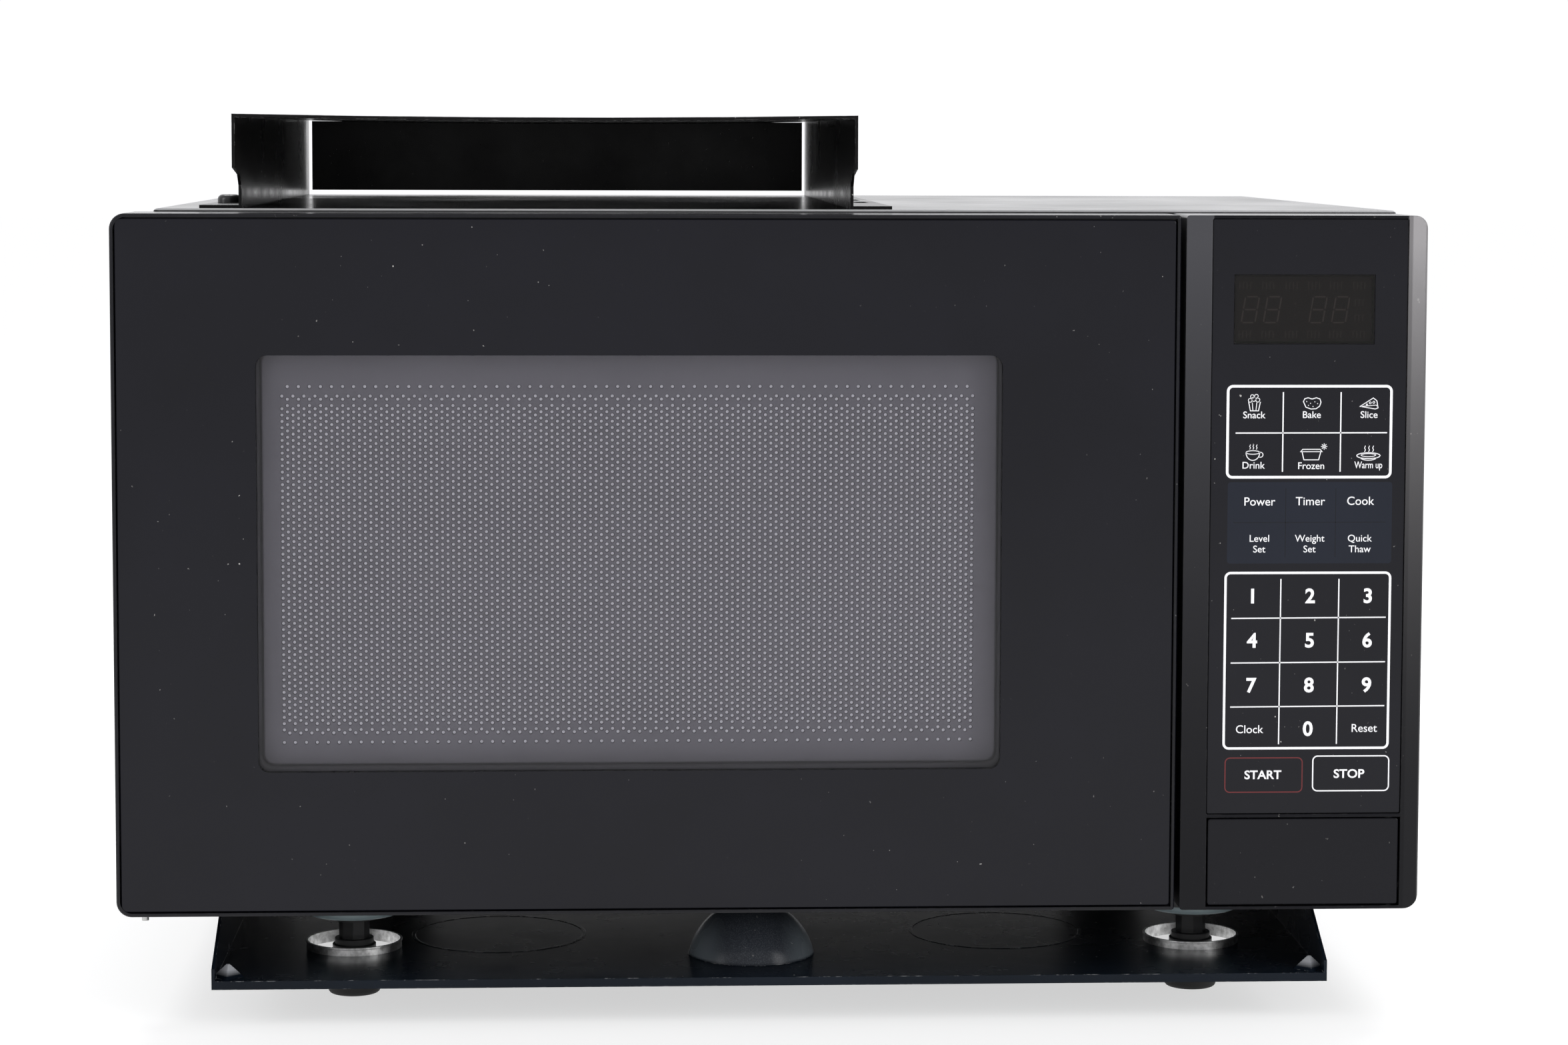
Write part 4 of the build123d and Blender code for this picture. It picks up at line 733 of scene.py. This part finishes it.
# second block: six keys on a bluish ground
prints.prism(rounded(177.2, 242.0, 137.0, 169.0, 1.2), KY - 0.012, KY - 0.002, 2)
rule(200.1, 166.6, 200.1, 139.4, 0.22, 3)
rule(219.8, 166.6, 219.8, 139.4, 0.22, 3)
rule(179.6, 153.1, 239.6, 153.2, 0.22, 3)
label("Power", 189.9, 161.4, 3.2, 0.004)
label("Timer", 209.8, 161.5, 3.2, 0.004)
label("Cook", 229.6, 161.6, 3.2, 0.004)
for x, a, b in ((189.9, "Level", "Set"), (209.7, "Weight", "Set"), (229.5, "Quick", "Thaw")):
    label(a, x, 146.9, 2.65, 0.004)
    label(b, x, 142.7, 2.65, 0.004)

# third block: numbers
frame_line(176.8, 241.7, 64.0, 133.3, 2.0, 0.95, 0)
rule(198.6, 130.9, 198.5, 65.6, 0.48)
rule(221.5, 130.9, 221.4, 65.6, 0.48)
for z in (115.5, 97.9, 80.5):
    rule(179.2, z - 0.1, 240.2, z + 0.2, 0.48)
for i, d in enumerate("123456789"):
    label(d, (187.5, 210.2, 233.0)[i % 3], (124.2, 106.7, 89.0)[i // 3], 5.4, 0.028)
label("0", 210.0, 71.7, 5.4, 0.028)
label("Clock", 187.0, 71.6, 3.1, 0.004)
label("Reset", 232.4, 71.9, 3.1, 0.004)
frame_line(177.5, 208.0, 46.6, 60.2, 1.9, 0.45, 1)
frame_line(212.2, 242.3, 47.0, 60.8, 1.9, 0.50, 0)
label("START", 192.5, 53.5, 3.25, 0.022, 14.6)
label("STOP", 226.6, 53.8, 3.25, 0.022, 12.2)
keypad = prints.make("keypad_print", [WHITE, RED, BLUE, LINE], "cabinet")

# ---------------------------------------------------------------- display

d0, d1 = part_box("display_module")
DY = (d0[1] - OY) * 1000
DX0, DX1 = 178.95, 234.05
DZ0, DZ1 = 223.05, 249.95
disp = Shape()


def seven(cx, z0, z1, half, slant, bar, mat):
    h = (z1 - z0) / 2
    zm = (z0 + z1) / 2

    def at(x, z):
        return (cx + x + slant * (z - zm), z)

    g = 0.35
    for z in (z0, zm, z1):
        a, b = at(-half + g + 0.3, z), at(half - g - 0.3, z)
        disp.stroke([a, b], bar, DY - 0.05, DY - 0.004, mat)
    for side in (-1, 1):
        for za, zb in ((z0 + g, zm - g), (zm + g, z1 - g)):
            disp.stroke([at(side * half, za), at(side * half, zb)], bar, DY - 0.05, DY - 0.004, mat)


for cx in (185.6, 194.3, 212.2, 221.1):
    seven(cx, 231.2, 241.3, 2.7, 0.16, 0.55, 0)
for z in (234.2, 238.6):
    disp.prism([(203.2 + 0.4 * math.cos(a * math.pi / 4), z + 0.4 * math.sin(a * math.pi / 4)) for a in range(8)], DY - 0.05, DY - 0.004, 1)
for row, z in ((0, 245.6), (1, 226.6)):
    for i, cx in enumerate((184.0, 193.0, 202.2, 211.0, 219.6, 228.8)):
        for j in range(4):
            x = cx - 2.7 + j * 1.45
            disp.stroke([(x, z - 1.4), (x, z + 1.4)], 0.30, DY - 0.05, DY - 0.004, 1)
            disp.stroke([(x + 0.15, z + (1.25 if (i + j) % 2 else 0.0)), (x + 0.85, z + (1.25 if (i + j) % 2 else 0.0))], 0.26, DY - 0.05, DY - 0.004, 1)
for z in (239.0, 233.0):
    for j in range(3):
        x = 226.8 + j * 1.5
        disp.stroke([(x, z - 1.3), (x, z + 1.3)], 0.28, DY - 0.05, DY - 0.004, 1)
        disp.stroke([(x + 0.15, z + 1.15), (x + 0.85, z + 1.15)], 0.24, DY - 0.05, DY - 0.004, 1)
segments = disp.make("display_segments", [SEG, SEG_DIM], "cabinet")

lens = Shape()
lens.prism(rounded(DX0, DX1, DZ0, DZ1, 0.4, 3), KY + 0.05, KY + 0.55, 0)
lens_ob = lens.make("display_lens", [LENS], "cabinet")

# ---------------------------------------------------------------- floor, light, camera

me = bpy.data.meshes.new("floor")
s = 14.0
me.from_pydata([(-s, -s, 0.0), (s, -s, 0.0), (s, s, 0.0), (-s, s, 0.0)], [], [(0, 1, 2, 3)])
floor = bpy.data.objects.new("floor", me)
bpy.context.scene.collection.objects.link(floor)
ft = Tree("floor_pale")
fb = ft.new("ShaderNodeBsdfDiffuse")
fb.inputs["Color"].default_value = (0.42, 0.42, 0.42, 1.0)
fe = ft.new("ShaderNodeEmission")
fe.inputs["Color"].default_value = (1.0, 1.0, 1.0, 1.0)
fe.inputs["Strength"].default_value = 0.60
fa = ft.new("ShaderNodeAddShader")
ft.link(fb.outputs[0], fa.inputs[0])
ft.link(fe.outputs[0], fa.inputs[1])
ft.link(fa.outputs[0], ft.out.inputs["Surface"])
me.materials.append(ft.mat)

world = bpy.data.worlds.new("studio")
bpy.context.scene.world = world
world.use_nodes = True
wt = world.node_tree
wt.nodes.clear()
wo = wt.nodes.new("ShaderNodeOutputWorld")
bg = wt.nodes.new("ShaderNodeBackground")
wc = wt.nodes.new("ShaderNodeTexCoord")
sep = wt.nodes.new("ShaderNodeSeparateXYZ")
ry = wt.nodes.new("ShaderNodeMapRange")
wt.links.new(wc.outputs["Generated"], sep.inputs[0])
wt.links.new(sep.outputs["Y"], ry.inputs["Value"])
ry.inputs["From Min"].default_value = -1.0
ry.inputs["From Max"].default_value = 0.6
ry.inputs["To Min"].default_value = 0.84
ry.inputs["To Max"].default_value = 1.05
path = wt.nodes.new("ShaderNodeLightPath")
pick = wt.nodes.new("ShaderNodeMix")
pick.data_type = "FLOAT"
wt.links.new(path.outputs["Is Camera Ray"], pick.inputs[0])
wt.links.new(ry.outputs[0], pick.inputs[2])
pick.inputs[3].default_value = 1.02
wt.links.new(pick.outputs[0], bg.inputs["Strength"])
bg.inputs["Color"].default_value = (0.985, 0.985, 1.0, 1.0)
wt.links.new(bg.outputs[0], wo.inputs["Surface"])


def area(name, at, to, size, radiance):
    li = bpy.data.lights.new(name, "AREA")
    li.shape = "RECTANGLE"
    li.size, li.size_y = size
    li.energy = radiance * math.pi * size[0] * size[1]
    ob = bpy.data.objects.new(name, li)
    ob.location = at
    ob.rotation_euler = (Vector(to) - Vector(at)).to_track_quat("-Z", "Y").to_euler()
    bpy.context.scene.collection.objects.link(ob)
    return ob


area("key_right", (1.75, -1.50, 0.95), (0.1, 0.0, 0.2), (0.8, 1.3), 5.5)
area("fill_left", (-1.6, -1.0, 0.9), (0.0, 0.0, 0.15), (0.5, 1.2), 4.0)
area("rim_top", (0.1, 0.55, 1.7), (0.0, 0.0, 0.3), (1.8, 0.5), 9.0)

cam = bpy.data.cameras.new("camera")
cam.sensor_width = 36.0
cam.lens = 5581.52 / 2352.0 * 36.0
cam.shift_x = 0.0
cam.shift_y = (643.0 - 784.0) / 2352.0
cam.clip_start = 0.05
cam.clip_end = 100.0
cam_ob = bpy.data.objects.new("camera", cam)
bpy.context.scene.collection.objects.link(cam_ob)
right = Vector((0.9988213, -0.0484531, 0.0028910))
up = Vector((0.0009258, 0.0785668, 0.9969084))
back = Vector((-0.0485305, -0.9957307, 0.0785191))
rot = Matrix((right, up, back)).transposed().to_4x4()
cam_ob.matrix_world = Matrix.Translation(Vector(P(-66.2001, -1435.1331, 303.3543))) @ rot
bpy.context.scene.camera = cam_ob
bpy.context.scene.view_settings.view_transform = "Standard"
bpy.context.scene.view_settings.look = "None"
